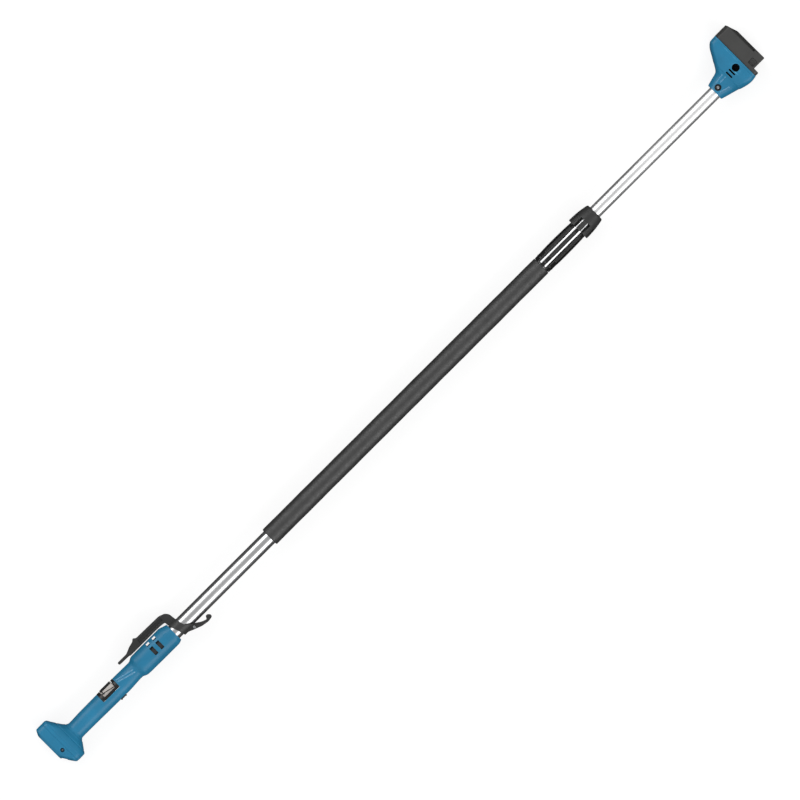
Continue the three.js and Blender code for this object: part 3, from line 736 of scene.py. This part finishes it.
def screw_boss(name):
    """The pillar that a screw needs inside a shell."""
    x, y, side, seat, _, recess = screw_place(name)
    seat -= SCREWS[name][2]
    wide = bar_z(recess + 1.6, x, y, side * (seat - 2.4), side * 90, 40)
    return join(bar_z(3.6, x, y, -90, 90), wide)


def screw_hole(name):
    """The shaft's hole and the head's recess."""
    x, y, side, seat, reach, recess = screw_place(name)
    seat -= SCREWS[name][2]
    shaft = bar_z(SCREW_RADIUS + 0.2, x, y, side * (reach - 1), side * seat)
    return join(shaft, bar_z(recess, x, y, side * (seat - 0.02), side * 90, 48))


# ------ handle

WALL = 2.6
GAP = 0.3
TUBE_SEAT = 16.65
HANDLE = sections_at([
    (-9, 46.3, -18.5, 34, 12, 12),
    (-6, 52.5, -23, 36, 13, 13),
    (-2, 58, -28.5, 37.5, 14, 13),
    (5, 58.3, -39, 37.5, 14, 13),
    (12, 58.3, -46.7, 37.5, 14, 13),
    (21, 58.3, -46.9, 37.5, 14, 13),
    (30, 46.4, -46.7, 33, 16, 15),
    (37.5, 35.2, -38, 27, 17, 17),
    (44, 26.5, -29.2, 21.5, 17, 17),
    (51.6, 20.6, -20.2, 17.9, 19, 17),
    (56, 20.2, -19.6, 17.3, 19, 17),
    (86, 21.2, -19.7, 17.4, 20, 17.3),
    (121, 21.5, -20.1, 17.5, 20, 17.4),
    (185, 22.3, -20.6, 17.7, 21, 17.6),
    (225.7, 21.7, -18.8, 17.8, 20, 17.6),
    (239, 26.8, -23.4, 22.2, 23, 20.6),
    (253, 27.1, -24, 23.2, 23.5, 21),
    (317, 27.2, -24.2, 23.2, 23.5, 21),
    (327, 24.4, -24.1, 22.8, 22, 20),
    (336, 21.5, -20.8, 20.4, 19, 18),
])
FOOT_GROOVES = (13.5, 21.7, 35.0, 47.0)
HANDLE_SCREWS = ("foot_screw", "grip_screw_1", "grip_screw_2", "body_screw")
WINDOW = (134.0, 180.0, 0.0)
GRIP_RIBS = (((185, 14.3), (222, 6)), ((185, 9.2), (222, -0.8)))


def bulkhead(x0, x1, hole):
    """A wall across the inside of the handle, with a hole on the pole's axis."""
    wall = loft("wall", HANDLE, stations(x0, x1, 3), 1.0)
    return cut(wall, bar_x(hole, x0 - 1, x1 + 1))


def vent(x, y0, y1, z0, z1, width):
    """A rounded slot through a side wall."""
    return plate_z(rounded(rectangle(x, y0, x + width, y1), 1.2), z0, z1)


def handle_solid():
    """Both halves of the handle in one: walls, bosses, bulkheads, foot, window and vents."""
    low, high = span("handle_shell_right")
    x0, x1 = low[0], high[0]
    tube_x = span("outer_tube")[0][0]
    extra, depth = grooves(FOOT_GROOVES, 2.0, 0.8)
    edges = hole_edges(HANDLE_SCREWS, (-4.9, 0, *WINDOW[:2], 162.5, 178.5, 276.7, 285.1, 293.8, 302.2))
    along = stations(x0, 60, 1.4, extra) + stations(60, x1, 2.5)[1:]
    outside = loft("handle", HANDLE, clear_of(along, edges, extra), groove=depth)
    cavity = loft("cavity", HANDLE, stations(4, x1 - 3, 2.5), WALL)
    seat = bar_x(TUBE_SEAT, tube_x - GAP, 340)
    shell = cut(outside, cavity, seat)

    limit = loft("limit", HANDLE, stations(x0, x1, 3), 1.2)
    bosses = common(join(*[screw_boss(s) for s in HANDLE_SCREWS]), limit)
    cut(bosses, bar_x(TUBE_SEAT, tube_x - GAP, 340))
    rib_limit = loft("limit", HANDLE, stations(140, 160, 3), 1.0)
    ribs = common(join(*[box((x, -17, -12), (x + 3, -6 - GAP, 12)) for x in (144, 154)]), rib_limit)
    join(shell, bosses, ribs, bulkhead(255, 261.7, 10), bulkhead(308, 312, TUBE_SEAT))

    slot_top, ear = 48, 31
    seat_low = span("battery_seat")[0]
    block_high = span("terminal_block")[1]
    sides = []
    for x in (276.7, 293.8):
        for z0, z1 in ((-90, -18.5), (18.5, 90)):
            sides.append(vent(x, -7.3, 12.4, z0, z1, 8.4))
        for z0, z1 in ((-90, -7), (7, 90)):
            sides.append(box((x, 17.5, z0), (x + 8.4, 90, z1)))
    return cut(
        shell,
        box((-12, -FAR, -25.5), (-4.9, slot_top, 25.5)),
        box((-5, -FAR, -ear), (0, slot_top, ear)),
        box((-12, -FAR, -ear), (-4.9, -20, ear)),
        box((-1, seat_low[1] - GAP, -25), (4.1, block_high[1] - 2.2, 25)),
        plate_z(rectangle(WINDOW[0], WINDOW[2], WINDOW[1], 90), -90, 90),
        box((162.5, -90, -5.5), (178.5, -10, 5.5)),
        *sides,
        *[screw_hole(s) for s in HANDLE_SCREWS],
    )


def split_shell(solid, nodes, body):
    """The two halves of a moulding, one for each CAD node."""
    for side, node in zip(HALVES, nodes):
        half = duplicate(solid)
        keep_half(half, side)
        show(half, body, BLUE, node, edge_mm=0.3, merge_mm=0.3)
    bpy.data.objects.remove(solid)


def make_ribs(name, body, at, places, radius, sink):
    """Moulded ribs on both sides of a shell, in a lighter blue that paints a highlight along them."""
    for side_name, side in HALVES.items():
        for number, (start, end) in enumerate(places, 1):
            rib = surface_rib(at, start, end, radius, side, sink)
            rib.name = f"{name}_{side_name}_{number}"
            show(rib, body, BLUE_RIB_PAINTED_HIGHLIGHT)


split_shell(handle_solid(), ("handle_shell_right", "handle_shell_left"), "pole")
for screw_name in HANDLE_SCREWS:
    make_screw(screw_name, "pole")
make_ribs("grip_rib", "pole", HANDLE, GRIP_RIBS, radius=2.2, sink=0.6)

# ------ trigger and switch

BEZEL_FRAME = (7.3, 6.0, 6.3)
PAD_SEAT = (143.5, 171.2, 8.4)
STEM = (159, 163)


def make_bezel():
    """The glossy frame round the trigger, following the grip's surface."""
    x0, x1, y0 = WINDOW[0] + GAP, WINDOW[1] - GAP, WINDOW[2] + GAP
    outside = loft("bezel", HANDLE, stations(x0, x1, 2.5), -0.3)
    common(outside, box((x0 - 1, y0, -90), (x1 + 1, 90, 90)))
    inside = loft("inside", HANDLE, stations(x0 - 2, x1 + 2, 2.5), WALL)
    left, right = WINDOW[0] + BEZEL_FRAME[0], WINDOW[1] - BEZEL_FRAME[1]
    bottom = WINDOW[2] + BEZEL_FRAME[2]
    bezel = cut(outside, inside, plate_z(rounded(rectangle(left, bottom, right, 90), 2.0), -90, 90))
    show(bezel, "pole", GLOSS, "trigger_bezel", edge_mm=0.5)


def make_trigger():
    """The rocking paddle, hollow, with a stem over the switch and fins closing its two gaps."""
    low, high = span("trigger")
    x0, x1, half_y, half_z = low[0] + 2.5, high[0] - 3, high[1], high[2]
    paddle = oval("trigger", x0, x1, half_y, half_z, rounding=1.4)
    outline = [(x0 - 1, 5.6), (x1 + 1, 2.9), (x1 + 1, 40), (x0 - 1, 40)]
    common(paddle, plate_z(outline, -60, 60))
    hollow = oval("hollow", x0 + 2.2, x1 - 2.2, half_y - 2.6, half_z - 2.6)
    pad_x0, pad_x1, pad_z = PAD_SEAT
    pad_seat = plate_y(rounded(rectangle(pad_x0, -pad_z, pad_x1, pad_z), 1.5), 13, 60)
    cut(pad_seat, oval("floor", 135, 180, half_y - 1.3, half_z - 1.3))
    cut(paddle, hollow, pad_seat, box((x0 - 1, 0, -8.6), (x1 + 1, 7, 8.6)))
    join(
        paddle,
        box((STEM[0], 3, -2), (STEM[1], half_y - 2, 2)),
        box((x0 - 2.5, 7.2, -1.5), (x0 + 1, 17.2, 1.5)),
        box((x1 - 1, 4, -1.5), (x1 + 3, 17.2, 1.5)),
    )
    cut(paddle, bar_z(1.7, *centre("trigger_pin"), -60, 60))
    show(paddle, "trigger_unit", TAUPE, "trigger", edge_mm=0.5)


def make_trigger_groove_shade():
    """Black strips on the trigger's two sides: painted shade of grooves."""
    half_y, half_z = span("trigger")[1][1:]
    upright = rectangle(144.4, 11.5, 146.8, 19)
    slanting = [(142.6, 12.4), (147.4, 12.4), (171.9, 6.9), (171.9, 8.6), (147.8, 14.3)]
    slanting.append((142.6, 14.3))
    strips = join(plate_z(rounded(upright, 0.5), -60, 60), plate_z(slanting, -60, 60))
    common(strips, oval("outside", 142.3, 172.2, half_y + 0.2, half_z + 0.2, rounding=0.8))
    cut(strips, oval("inside", 130, 180, half_y - 0.5, half_z - 0.5))
    strips.name = "trigger_groove_shade"
    # The strips are black rubber: painted groove shade.
    show(strips, "trigger_unit", RUBBER)


def make_trigger_pad():
    """The soft pad let into the trigger, with fine ribs across it."""
    (x0, _, z0), (x1, half_y, z1) = span("trigger_pad")
    half_z = span("trigger")[1][2] + 0.4
    pitch = 2.0
    crest = ((0, 0.06), (0.35, 0.0), (0.95, 0.0), (1.3, 0.08), (1.5, 0.3), (1.8, 0.3))
    count = int((x1 - x0) / pitch) + 1
    stops = [(x0 + pitch * i + along, inset) for i in range(count) for along, inset in crest]
    section = [half_y, -half_y, half_z, half_y, half_z]
    layer = skin("pad", [ring(x, section, inset) for x, inset in stops])
    cut(layer, oval("under", stops[0][0] - 3, stops[-1][0] + 3, half_y - 1.5, half_z - 1.5))
    common(layer, plate_y(rounded(rectangle(x0, z0, x1, z1), 1.3), 13, 60))
    show(layer, "trigger_unit", RUBBER, "trigger_pad", edge_mm=0.12)


def make_lock_button():
    """The button under the grip: a dished cap on a flange."""
    low, high = span("lock_off_button")
    x0, x1, half = low[0] + 2.5, high[0] - 2.5, 5.0
    outline = [(x0, -13), (x0, -22.6), (x0 + 1, -23.4), (x0 + 4.5, -22), (170.5, -22.5),
               (x1 - 4.5, -22), (x1 - 1, -23.4), (x1, -22.6), (x1, -13)]
    cap = plate_z(rounded(outline, 0.8), -half, half)
    join(cap, box((low[0], -14.2, low[2]), (high[0], -12.8, high[2])))
    show(cap, "lock_off_unit", BLACK, "lock_off_button", edge_mm=0.6, segments=3)


make_bezel()
make_trigger()
make_trigger_groove_shade()
make_trigger_pad()
make_lock_button()

# ------ tubes, grip and collet

CLEAR_BORE = 16.8
FINGERS = 8
SLOT_TURN = math.radians(68.5)
FINGER_TURN = SLOT_TURN + math.pi / FINGERS
SWELL = (1397, 1493)
NECK = (1499.0, 18.9)
NUT_RADIUS, NUT_TIP = 26.0, 20.9


def tube(node, radius, bore, body, material, hole):
    """A drawn tube with eased ends, and a cross hole for its screw."""
    low, high = span(node)
    x0, x1, ease = low[0], high[0], 0.4
    x, y = screw_place(hole)[:2]
    beside = [x - 3.5, x + 3.5]
    profile = [(x0, bore + ease), (x0, radius - ease), (x0 + ease, radius)]
    profile += [(b, radius) for b in beside]
    profile += [(x1 - ease, radius), (x1, radius - ease), (x1, bore + ease), (x1 - ease, bore)]
    profile += [(b, bore) for b in reversed(beside)] + [(x0 + ease, bore)]
    pipe = turned_x(node, profile, 128)
    cut(pipe, bar_z(1.9, x, y, -30, 30, 40))
    show(pipe, body, material, node)


def set_round(make, first_turn):
    """One piece for each of the collet's fingers, set evenly round the pole's axis."""
    pieces = []
    for i in range(FINGERS):
        piece = make()
        piece.data.transform(Matrix.Rotation(first_turn + 2 * math.pi * i / FINGERS, 4, "X"))
        pieces.append(piece)
    return pieces


def slots(x0, x1, half_width):
    """Slots let in round the collet from its outside."""
    return set_round(lambda: box((x0, 12, -half_width), (x1, 32, half_width)), SLOT_TURN)


def knurls(name, body, x0, x1, pitch, half_width, radius_at, height):
    """Strips of fine ribs along the middles of the collet's fingers."""
    profile = []
    x = x0
    while x < x1 - 0.5 * pitch:
        base = radius_at(x + pitch / 2)
        rib = ((0, -0.3), (0.25, height), (0.55, height), (0.8, -0.3))
        profile += [(x + share * pitch, base + rise) for share, rise in rib]
        x += pitch
    inner = radius_at((x0 + x1) / 2) - 1.6
    band = turned_x(name, [(x0, inner), *profile, (x, inner)], 96)
    strips = set_round(lambda: box((x0 - 1, 10, -half_width), (x1 + 1, 40, half_width)), FINGER_TURN)
    common(band, join(*strips))
    show(band, body, CHARCOAL)


def make_foam_grip():
    """The foam sleeve, its ends rounded and its skin slightly uneven."""
    low, high = span("foam_grip")
    radius, ends = high[1], 2.2
    xs = [low[0] + ends * (1 - math.cos(math.pi / 2 * k / 5)) for k in range(6)]
    xs += stations(low[0] + ends, high[0] - ends, 6.0)[1:-1]
    xs += [high[0] - ends * (1 - math.cos(math.pi / 2 * k / 5)) for k in range(5, -1, -1)]

    def skin_radius(x, a):
        near = max(ends - (x - low[0]), ends - (high[0] - x), 0.0)
        fall = ends - math.sqrt(max(ends**2 - near**2, 0.0))
        wave = math.sin(x / 17 + 2 * math.sin(a)) + math.sin(x / 7.3 + 3 * a) * 0.6
        return radius - 0.12 - fall - 0.1 * wave

    segments = 72
    rings = []
    for i in range(segments):
        a = 2 * math.pi * i / segments
        outside = [(x, skin_radius(x, a)) for x in xs]
        profile = [(low[0], CLEAR_BORE), *outside, (high[0], CLEAR_BORE)]
        rings.append([(x, r * math.cos(a), r * math.sin(a)) for x, r in profile])
    grip = skin("foam_grip", rings, closed=False)
    show(grip, "pole", FOAM, "foam_grip")


def sleeve_radius(x):
    """The collet sleeve swells by a millimetre at the middle of its fingers."""
    x0, x1 = SWELL
    return 20.1 + math.sin(min(max((x - x0) / (x1 - x0), 0.0), 1.0) * math.pi)


def make_sleeve():
    """The slotted collet sleeve, with a strip of fine ribs and a dot on each finger."""
    low, high = span("collet_sleeve")
    x0, x1 = low[0], high[0]
    neck_x, neck_r = NECK
    profile = [(x0, CLEAR_BORE), (x0, 19.5), (x0 + 0.5, 19.9), (x0 + 1.5, 20.1)]
    profile += [(x, sleeve_radius(x)) for x in stations(x0 + 4, neck_x - 4, 6.0)]
    profile += [(neck_x - 0.6, 19.9), (neck_x, 19.5), (neck_x, neck_r), (x1, neck_r), (x1, CLEAR_BORE)]
    sleeve = turned_x("collet_sleeve", profile, 128)
    cut(sleeve, *slots(x0 + 3, neck_x, 3.6))
    cut(sleeve, *slots(neck_x - 0.5, x1 + 1, 4.2))
    show(sleeve, "pole", GLOSS, "collet_sleeve", edge_mm=0.3)
    knurls("sleeve_ribs", "pole", 1420, 1492, 2.0, 2.1, sleeve_radius, 0.55)

    def dot():
        profile = [(19.6, 1.7), (20.6, 1.6), (20.95, 1.1), (21.05, 0.1)]
        dome = turned_z("dot", profile, 1405, 0, segments=20)
        dome.data.transform(Matrix.Rotation(-math.pi / 2, 4, "X"))
        return dome

    for number, dome in enumerate(set_round(dot, FINGER_TURN), 1):
        dome.name = f"sleeve_dot_{number}"
        show(dome, "pole", CHARCOAL)


def make_nut():
    """The tapering lock nut, slotted at its wide end, with fine ribs between the slots."""
    low, high = span("lock_nut")
    x0, x1, r, tip = low[0], high[0], NUT_RADIUS, NUT_TIP
    profile = [(x0, 19.4), (x0, r - 1), (x0 + 0.5, r - 0.3), (x0 + 1.5, r)]
    taper_xs = [x0 + 1.5, x0 + 12, x0 + 24, x1 - 12, x1 - 3]
    taper = monotone(taper_xs, [r, r - 0.3, r - 1, tip + 2.2, tip + 0.6])
    profile += [(x, taper(x)) for x in stations(x0 + 4, x1 - 3, 3.5)]
    profile += [(x1 - 1, tip - 0.6), (x1 - 0.3, tip - 1.4), (x1, tip - 2), (x1, 14.4)]
    profile += [(x1 - 3, 14.4), (x1 - 3, 16.5), (1523, 19.4)]
    nut = turned_x("lock_nut", profile, 128)
    cut(nut, *slots(x0 - 1, 1522.5, 4.2))
    show(nut, "nut_unit", CHARCOAL, "lock_nut", edge_mm=0.4)
    knurls("nut_ribs", "nut_unit", x0 + 2.2, 1522, 2.4, 2.4, taper, 0.35)


tube("outer_tube", 16.5, 15.0, "pole", SILVER, "body_screw")
tube("inner_tube", 14.0, 12.5, "extension", BRIGHT, "head_screw_1")
make_foam_grip()
make_sleeve()
make_nut()

# ------ hook bracket

HOOK_OUTLINE = [
    (210, 31), (236, 30.4), (241, 28.7), (322, 28.7), (337, 27), (337, 20), (341, 5.9), (347.2, -15.8),
    (368, -24.5), (386.8, -31.6), (402.5, -34), (413.5, -32), (415, -26.8), (409.6, -21.3), (405, -22),
    (402.5, -28.4), (391.5, -24.4), (376, -14.2), (362.5, -3.2), (357, 15.8), (355, 33), (349, 40.7),
    (336.5, 45.4), (272, 46.6), (266.7, 51.4), (262.4, 46.4), (250, 43.5), (236, 37.3), (210, 37.3),
]
COLLAR_OUTLINE = [
    (337.5, 20), (341.5, 6), (347.6, -15.4), (348.6, -20),
    (381, -20), (375.4, -14.4), (361.9, -3.4), (356.4, 20),
]
HOOK_HALF = 9.0
HOOK_BORE = 16.9


def make_hook():
    """The bracket's arm, with its belt tongue and its hook, and the collar round the tube."""
    half = HOOK_HALF
    arm = plate_z(rounded(HOOK_OUTLINE, 3.0, 5), -half, half)
    band = common(plate_z(COLLAR_OUTLINE, -21, 21), bar_x(20.2, 330, 390))
    cut(band, bar_x(HOOK_BORE, 320, 420))
    band.name = "hook_collar"
    show(band, "hook_unit", BLACK, edge_mm=0.6)
    panel = rounded([(272, 42.2), (336, 41.2), (337, 33.5), (272, 33.5)], 2.0)
    screw = centre("hook_screw")
    hollows = (plate_z(panel, 6.5, 20), plate_z(panel, -20, -6.5))
    cut(arm, *hollows, bar_x(HOOK_BORE, 320, 420), bar_z(1.7, *screw, -30, 30))
    show(arm, "hook_unit", BLACK, "hook_bracket", edge_mm=0.8, segments=3)
    profile = [(-half, 0.1), (-half, 1.5), (half + 0.1, 1.5), (half + 0.1, 3.2)]
    profile += [(half + 1.3, 3.2), (half + 2.2, 2.6), (half + 2.7, 0.1)]
    screw_piece = turned_z("hook_screw", profile, *screw)
    cut(screw_piece, *cross_slot(*screw, half + 1.2, half + 3, 1, wide=1.9))
    show(screw_piece, "hook_unit", STEEL, "hook_screw", edge_mm=0.15)


make_hook()

# ------ head

HEAD = sections_at([
    (1895, 20.8, -19.6, 19.2, 19.4, 18.9),
    (1910, 25, -24, 20.2, 20, 18.5),
    (1924, 29, -27.7, 22.4, 18, 16),
    (1935.5, 44.6, -31, 27.6, 16, 15),
    (1941, 53.6, -32.8, 30, 15, 14),
    (1953.7, 74, -36, 35.5, 14, 13),
    (1963, 80.9, -37.2, 37.5, 13, 12),
    (1976, 81.8, -35.6, 37.5, 12, 12),
])
HEAD_SCREWS = ("head_screw_1", "head_screw_2", "head_screw_3")
STEP_X = 1935.5


def head_relief(x):
    """The neck stands a little below the flared part, and a groove runs behind the rim."""
    step = 0.9 * min(max((STEP_X + 0.6 - x) / 1.2, 0.0), 1.0)
    groove = 0.5 if 1971.2 < x < 1972.2 else 0.0
    return step + groove


def head_solid():
    """Both halves of the head in one: walls, bosses, cable clamp, vents and screw recesses."""
    low, high = span("head_shell_right")
    x0, x1 = low[0], high[0]
    extra = [STEP_X - 0.6, STEP_X, STEP_X + 0.6, 1970.9, 1971.4, 1972.0, 1972.5]
    edges = hole_edges(HEAD_SCREWS, (1938, 1941.6, 1946, 1949.6))
    xs = clear_of(stations(x0, x1, 1.6, extra), edges, extra)
    outside = loft("head", HEAD, xs, groove=head_relief)
    cavity = loft("cavity", lambda x: HEAD(min(x, x1)), stations(1917.5, x1 + 4, 2.0), WALL + 0.9)
    tube_end = span("inner_tube")[1][0]
    seat = bar_x(14.2, 1890, tube_end + GAP)
    shell = cut(outside, cavity, seat)
    bosses = join(*[screw_boss(s) for s in HEAD_SCREWS])
    clamp = box((1918.5, -40, -8), (1927.5, -10.3, 8))
    for piece in (bosses, clamp):
        common(piece, loft("limit", HEAD, stations(x0, x1, 3), 1.9))
    cut(bosses, bar_x(14.2, 1890, tube_end + GAP))
    join(shell, bosses, clamp)
    sides = ((-90, -18), (18, 90))
    openings = [vent(x, -3.3, 13.6, z0, z1, 3.6) for x in (1938, 1946) for z0, z1 in sides]
    return cut(shell, bar_x(8, 1900, 1920), *openings, *[screw_hole(s) for s in HEAD_SCREWS])


def head_surface(x):
    """The neck's sections as moulded, below the step."""
    top, bottom, half, corner_y, corner_z = HEAD(x)
    return [top - 0.9, bottom + 0.9, half - 0.9, corner_y, corner_z]


NECK_RIBS = (((1911, 12.8), (1930, 15.6)), ((1903, -7.5), (1923, -12.6)), ((1917, 7.0), (1931, 7.6)))

split_shell(head_solid(), ("head_shell_right", "head_shell_left"), "extension")
# The deep-set head_screw_2 is near-black: painted shade of its recess.
for screw_name in HEAD_SCREWS:
    make_screw(screw_name, "extension", STEEL_PAINTED_SHADE if screw_name == "head_screw_2" else STEEL)
make_washer("head_washer_1", "extension")
make_washer("head_washer_2", "extension")
make_ribs("neck_rib", "extension", head_surface, NECK_RIBS, radius=1.7, sink=0.5)

# ------ plug and latch

CHEEK_Z = 31.0
BRIDGE_X = 2003.0
# The rail's groove: where it begins and ends along the pole, and the half widths of neck and head.
RAIL = (2008.6, 2013.1, 25.0, 30.0)


def rail_cuts(side):
    """The two blocks taken away beside the plug's rail: its groove and the step above it."""
    x0, x1, neck, head = RAIL
    blocks = []
    for (xa, xb), y, z in (((x0, x1), 3, neck), ((x1 - 0.1, 2020), -5, head)):
        za, zb = sorted((side * z, side * 60))
        blocks.append(box((xa, y, za), (xb, 90, zb)))
    return blocks


def plug_solid():
    """The plug with its rails, its hollow back, the latch's pocket and the terminals' slots."""
    low, high = span("plug_body")
    x0, x1, top, half = 1976.3, high[0], high[1], high[2]
    side = [(x0, -34.6), (1983.6, -34.6), (1985, -33.2), (1985, -21.7), (2014, -21.7), (x1, -20.5),
            (x1, 55), (x1 - 1, 59), (2006.4, top), (x0, top)]
    footprint = [(-34.6, -29), (-29, -half), (75.5, -half), (top, -20), (top, 20)]
    footprint += [(75.5, half), (-29, half), (-34.6, 29)]
    body = plate_z(rounded(side, 1.0, 3), -half, half)
    common(body, plate_x(rounded(footprint, 3.0, 4), x0, x1))
    rim = HEAD(1976)
    tongue = skin("tongue", [ring(x, rim, WALL + 0.9 + 2 * GAP) for x in (low[0], x0 + 0.5)])
    recess = [
        box((1980.2, -21.7, -CHEEK_Z), (BRIDGE_X, -0.9, CHEEK_Z)),
        box((1985, -17, -60), (1998.4, -3.5, 60)),
        box((BRIDGE_X - 1, -17.6, -8.6), (2020, -6.4, 8.6)),
    ]
    terminals = []
    for i in range(1, 4):
        contact_low, contact_high = span(f"plug_contact_{i}")
        z = (contact_low[2] + contact_high[2]) / 2
        terminals.append(box((2003.5, 57, z - 1.9), (2020, 90, z + 1.9)))
        terminals.append(box((1990, 57, z - 0.7), (2004, 59.7, z + 0.7)))
    cut(body, *recess)
    join(body, tongue, box((1979.2, -14, -4), (1993.6, -8, 4)))
    return cut(body, box((1960, 2.5, -27), (1999.5, 75, 27)), *rail_cuts(-1), *rail_cuts(1), *terminals)


def make_latch():
    """The sprung latch: a block with a sloping tooth and a ribbed pad on each side."""
    low = span("plug_latch")[0]
    body = box((low[0], -21.3, 0.5 - CHEEK_Z), (BRIDGE_X - 0.4, -1.4, CHEEK_Z - 0.5))
    slope = [(2002, -17), (2010.5, -17), (2014, -9.5), (2014, -7), (2002, -7)]
    tooth = plate_z(rounded(slope, 0.8), -8, 8)
    pads = [box((1989.4, -16.5, z0), (1998, -4, z1)) for z0, z1 in ((-33.4, -30), (30, 33.4))]
    join(body, tooth, *pads)
    grips = []
    for z0, z1 in ((-40, -32.9), (32.9, 40)):
        grips += [box((1990.8 + 2.0 * k, -15.5, z0), (1991.8 + 2.0 * k, -5, z1)) for k in range(3)]
    cut(body, box((1980, -14.4, -4.4), (1998, -7.6, 4.4)), bar_x(3.4, 1980, 1996, -11, 16), *grips)
    show(body, "latch_unit", PLAIN_CHARCOAL, "plug_latch", edge_mm=0.3, flat=True)


show(plug_solid(), "extension", PLAIN_CHARCOAL, "plug_body", edge_mm=0.5, flat=True)
make_latch()

# ------ springs, leads and plain inner pieces


def coil_spring(node, body, axis, turns, wire):
    """A compression spring with closed ends in a CAD spring's place."""
    low, high = span(node)
    k = "xyz".index(axis)
    others = [i for i in range(3) if i != k]
    middle = [(p + q) / 2 for p, q in zip(low, high)]
    radius = (high[2] - low[2]) / 2 - wire
    length = high[k] - low[k] - 2 * wire
    total = turns + 2
    count = 20 * total
    rings = []
    for i in range(count + 1):
        share = i / count
        t = min(max((share * total - 1) / turns, 0.0), 1.0)
        lead = 0.6 * wire * (min(share * total, 1.0) + max(share * total - turns - 1, 0.0))
        height = low[k] + wire + lead + t * (length - 1.2 * wire)
        angle = 2 * math.pi * share * total
        section = []
        for u, v in circle(1, 8):
            point = [height + wire * v] * 3
            for j, c in zip(others, (math.cos(angle), math.sin(angle))):
                point[j] = middle[j] + radius * c + wire * (c * u)
            section.append(point)
        rings.append(section)
    spring = skin(node, rings)
    show(spring, body, STEEL, node)
    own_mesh(spring)


coil_spring("trigger_spring", "pole", "y", 5, 0.5)
coil_spring("lock_off_spring", "pole", "y", 3, 0.4)
coil_spring("latch_spring", "extension", "x", 6, 0.45)

CARRIED = (
    # cable_guide is black to close the view through the vents: painted shade behind them.
    (PLAIN_BLACK, 0.3, ("battery_seat", "terminal_block", "switch_body", "cable_guide")),
    (BRASS, 0.12, ("power_blade_positive", "power_blade_negative", "signal_blade")),
    (BRASS, 0.1, ("plug_contact_1", "plug_contact_2", "plug_contact_3")),
    (STEEL, 0.2, ("trigger_pin",)),
    (NATURAL, 0.2, ("collet_ring",)),
    (NATURAL, 0.1, ("guide_bush",)),
    # tube_sleeve is black so the handle's vents show dark: painted shade behind them.
    (RUBBER, 0.3, ("tube_sleeve",)),
    (RUBBER, 0, ("wire_black", "tube_cable")),
    (RED, 0, ("wire_red",)),
)
for finish, edge, node_names in CARRIED:
    for node_name in node_names:
        piece = bpy.data.objects[node_name]
        dress(piece, finish)
        if edge:
            ease_edges(piece, edge, flat=True)


def make_coiled_cable():
    """The coiled lead inside the tubes, which draws out and closes up with the telescope; here it is
    copied from its CAD node as it stands.
    """
    node = bpy.data.objects["coiled_cable"]
    place = node.matrix_world.copy()
    coil = duplicate(node)
    coil.parent = None
    coil.matrix_world = place
    coil.name = "coiled_cable_finish"
    dress(coil, RUBBER)
    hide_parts("coiled_cable")
    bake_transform(coil)


make_coiled_cable()

# ------ finish


def floor_material():
    """White paper lit from behind to the eye, and grey to everything that reflects it."""
    material = bpy.data.materials.new("studio_floor")
    material.use_nodes = True
    tree = material.node_tree
    tree.nodes.clear()
    lit = tree.nodes.new("ShaderNodeAddShader")
    tree.links.new(plain(tree, "ShaderNodeEmission", 1, 0.78), lit.inputs[0])
    tree.links.new(plain(tree, "ShaderNodeBsdfDiffuse", 0.3), lit.inputs[1])
    grey = plain(tree, "ShaderNodeBsdfDiffuse", 0.08)
    output = tree.nodes.new("ShaderNodeOutputMaterial")
    split_rays(tree, lit.outputs["Shader"], grey, output.inputs["Surface"])
    return material


def make_floor():
    square = rectangle(-FLOOR_REACH, -FLOOR_REACH, FLOOR_REACH, FLOOR_REACH)
    corners = [(x, y, FLOOR_Z) for x, y in square]
    mesh = bpy.data.meshes.new("floor")
    mesh.from_pydata(corners, [], [(0, 1, 2, 3)])
    floor = link(bpy.data.objects.new("floor", mesh))
    mesh.materials.append(floor_material())


make_floor()
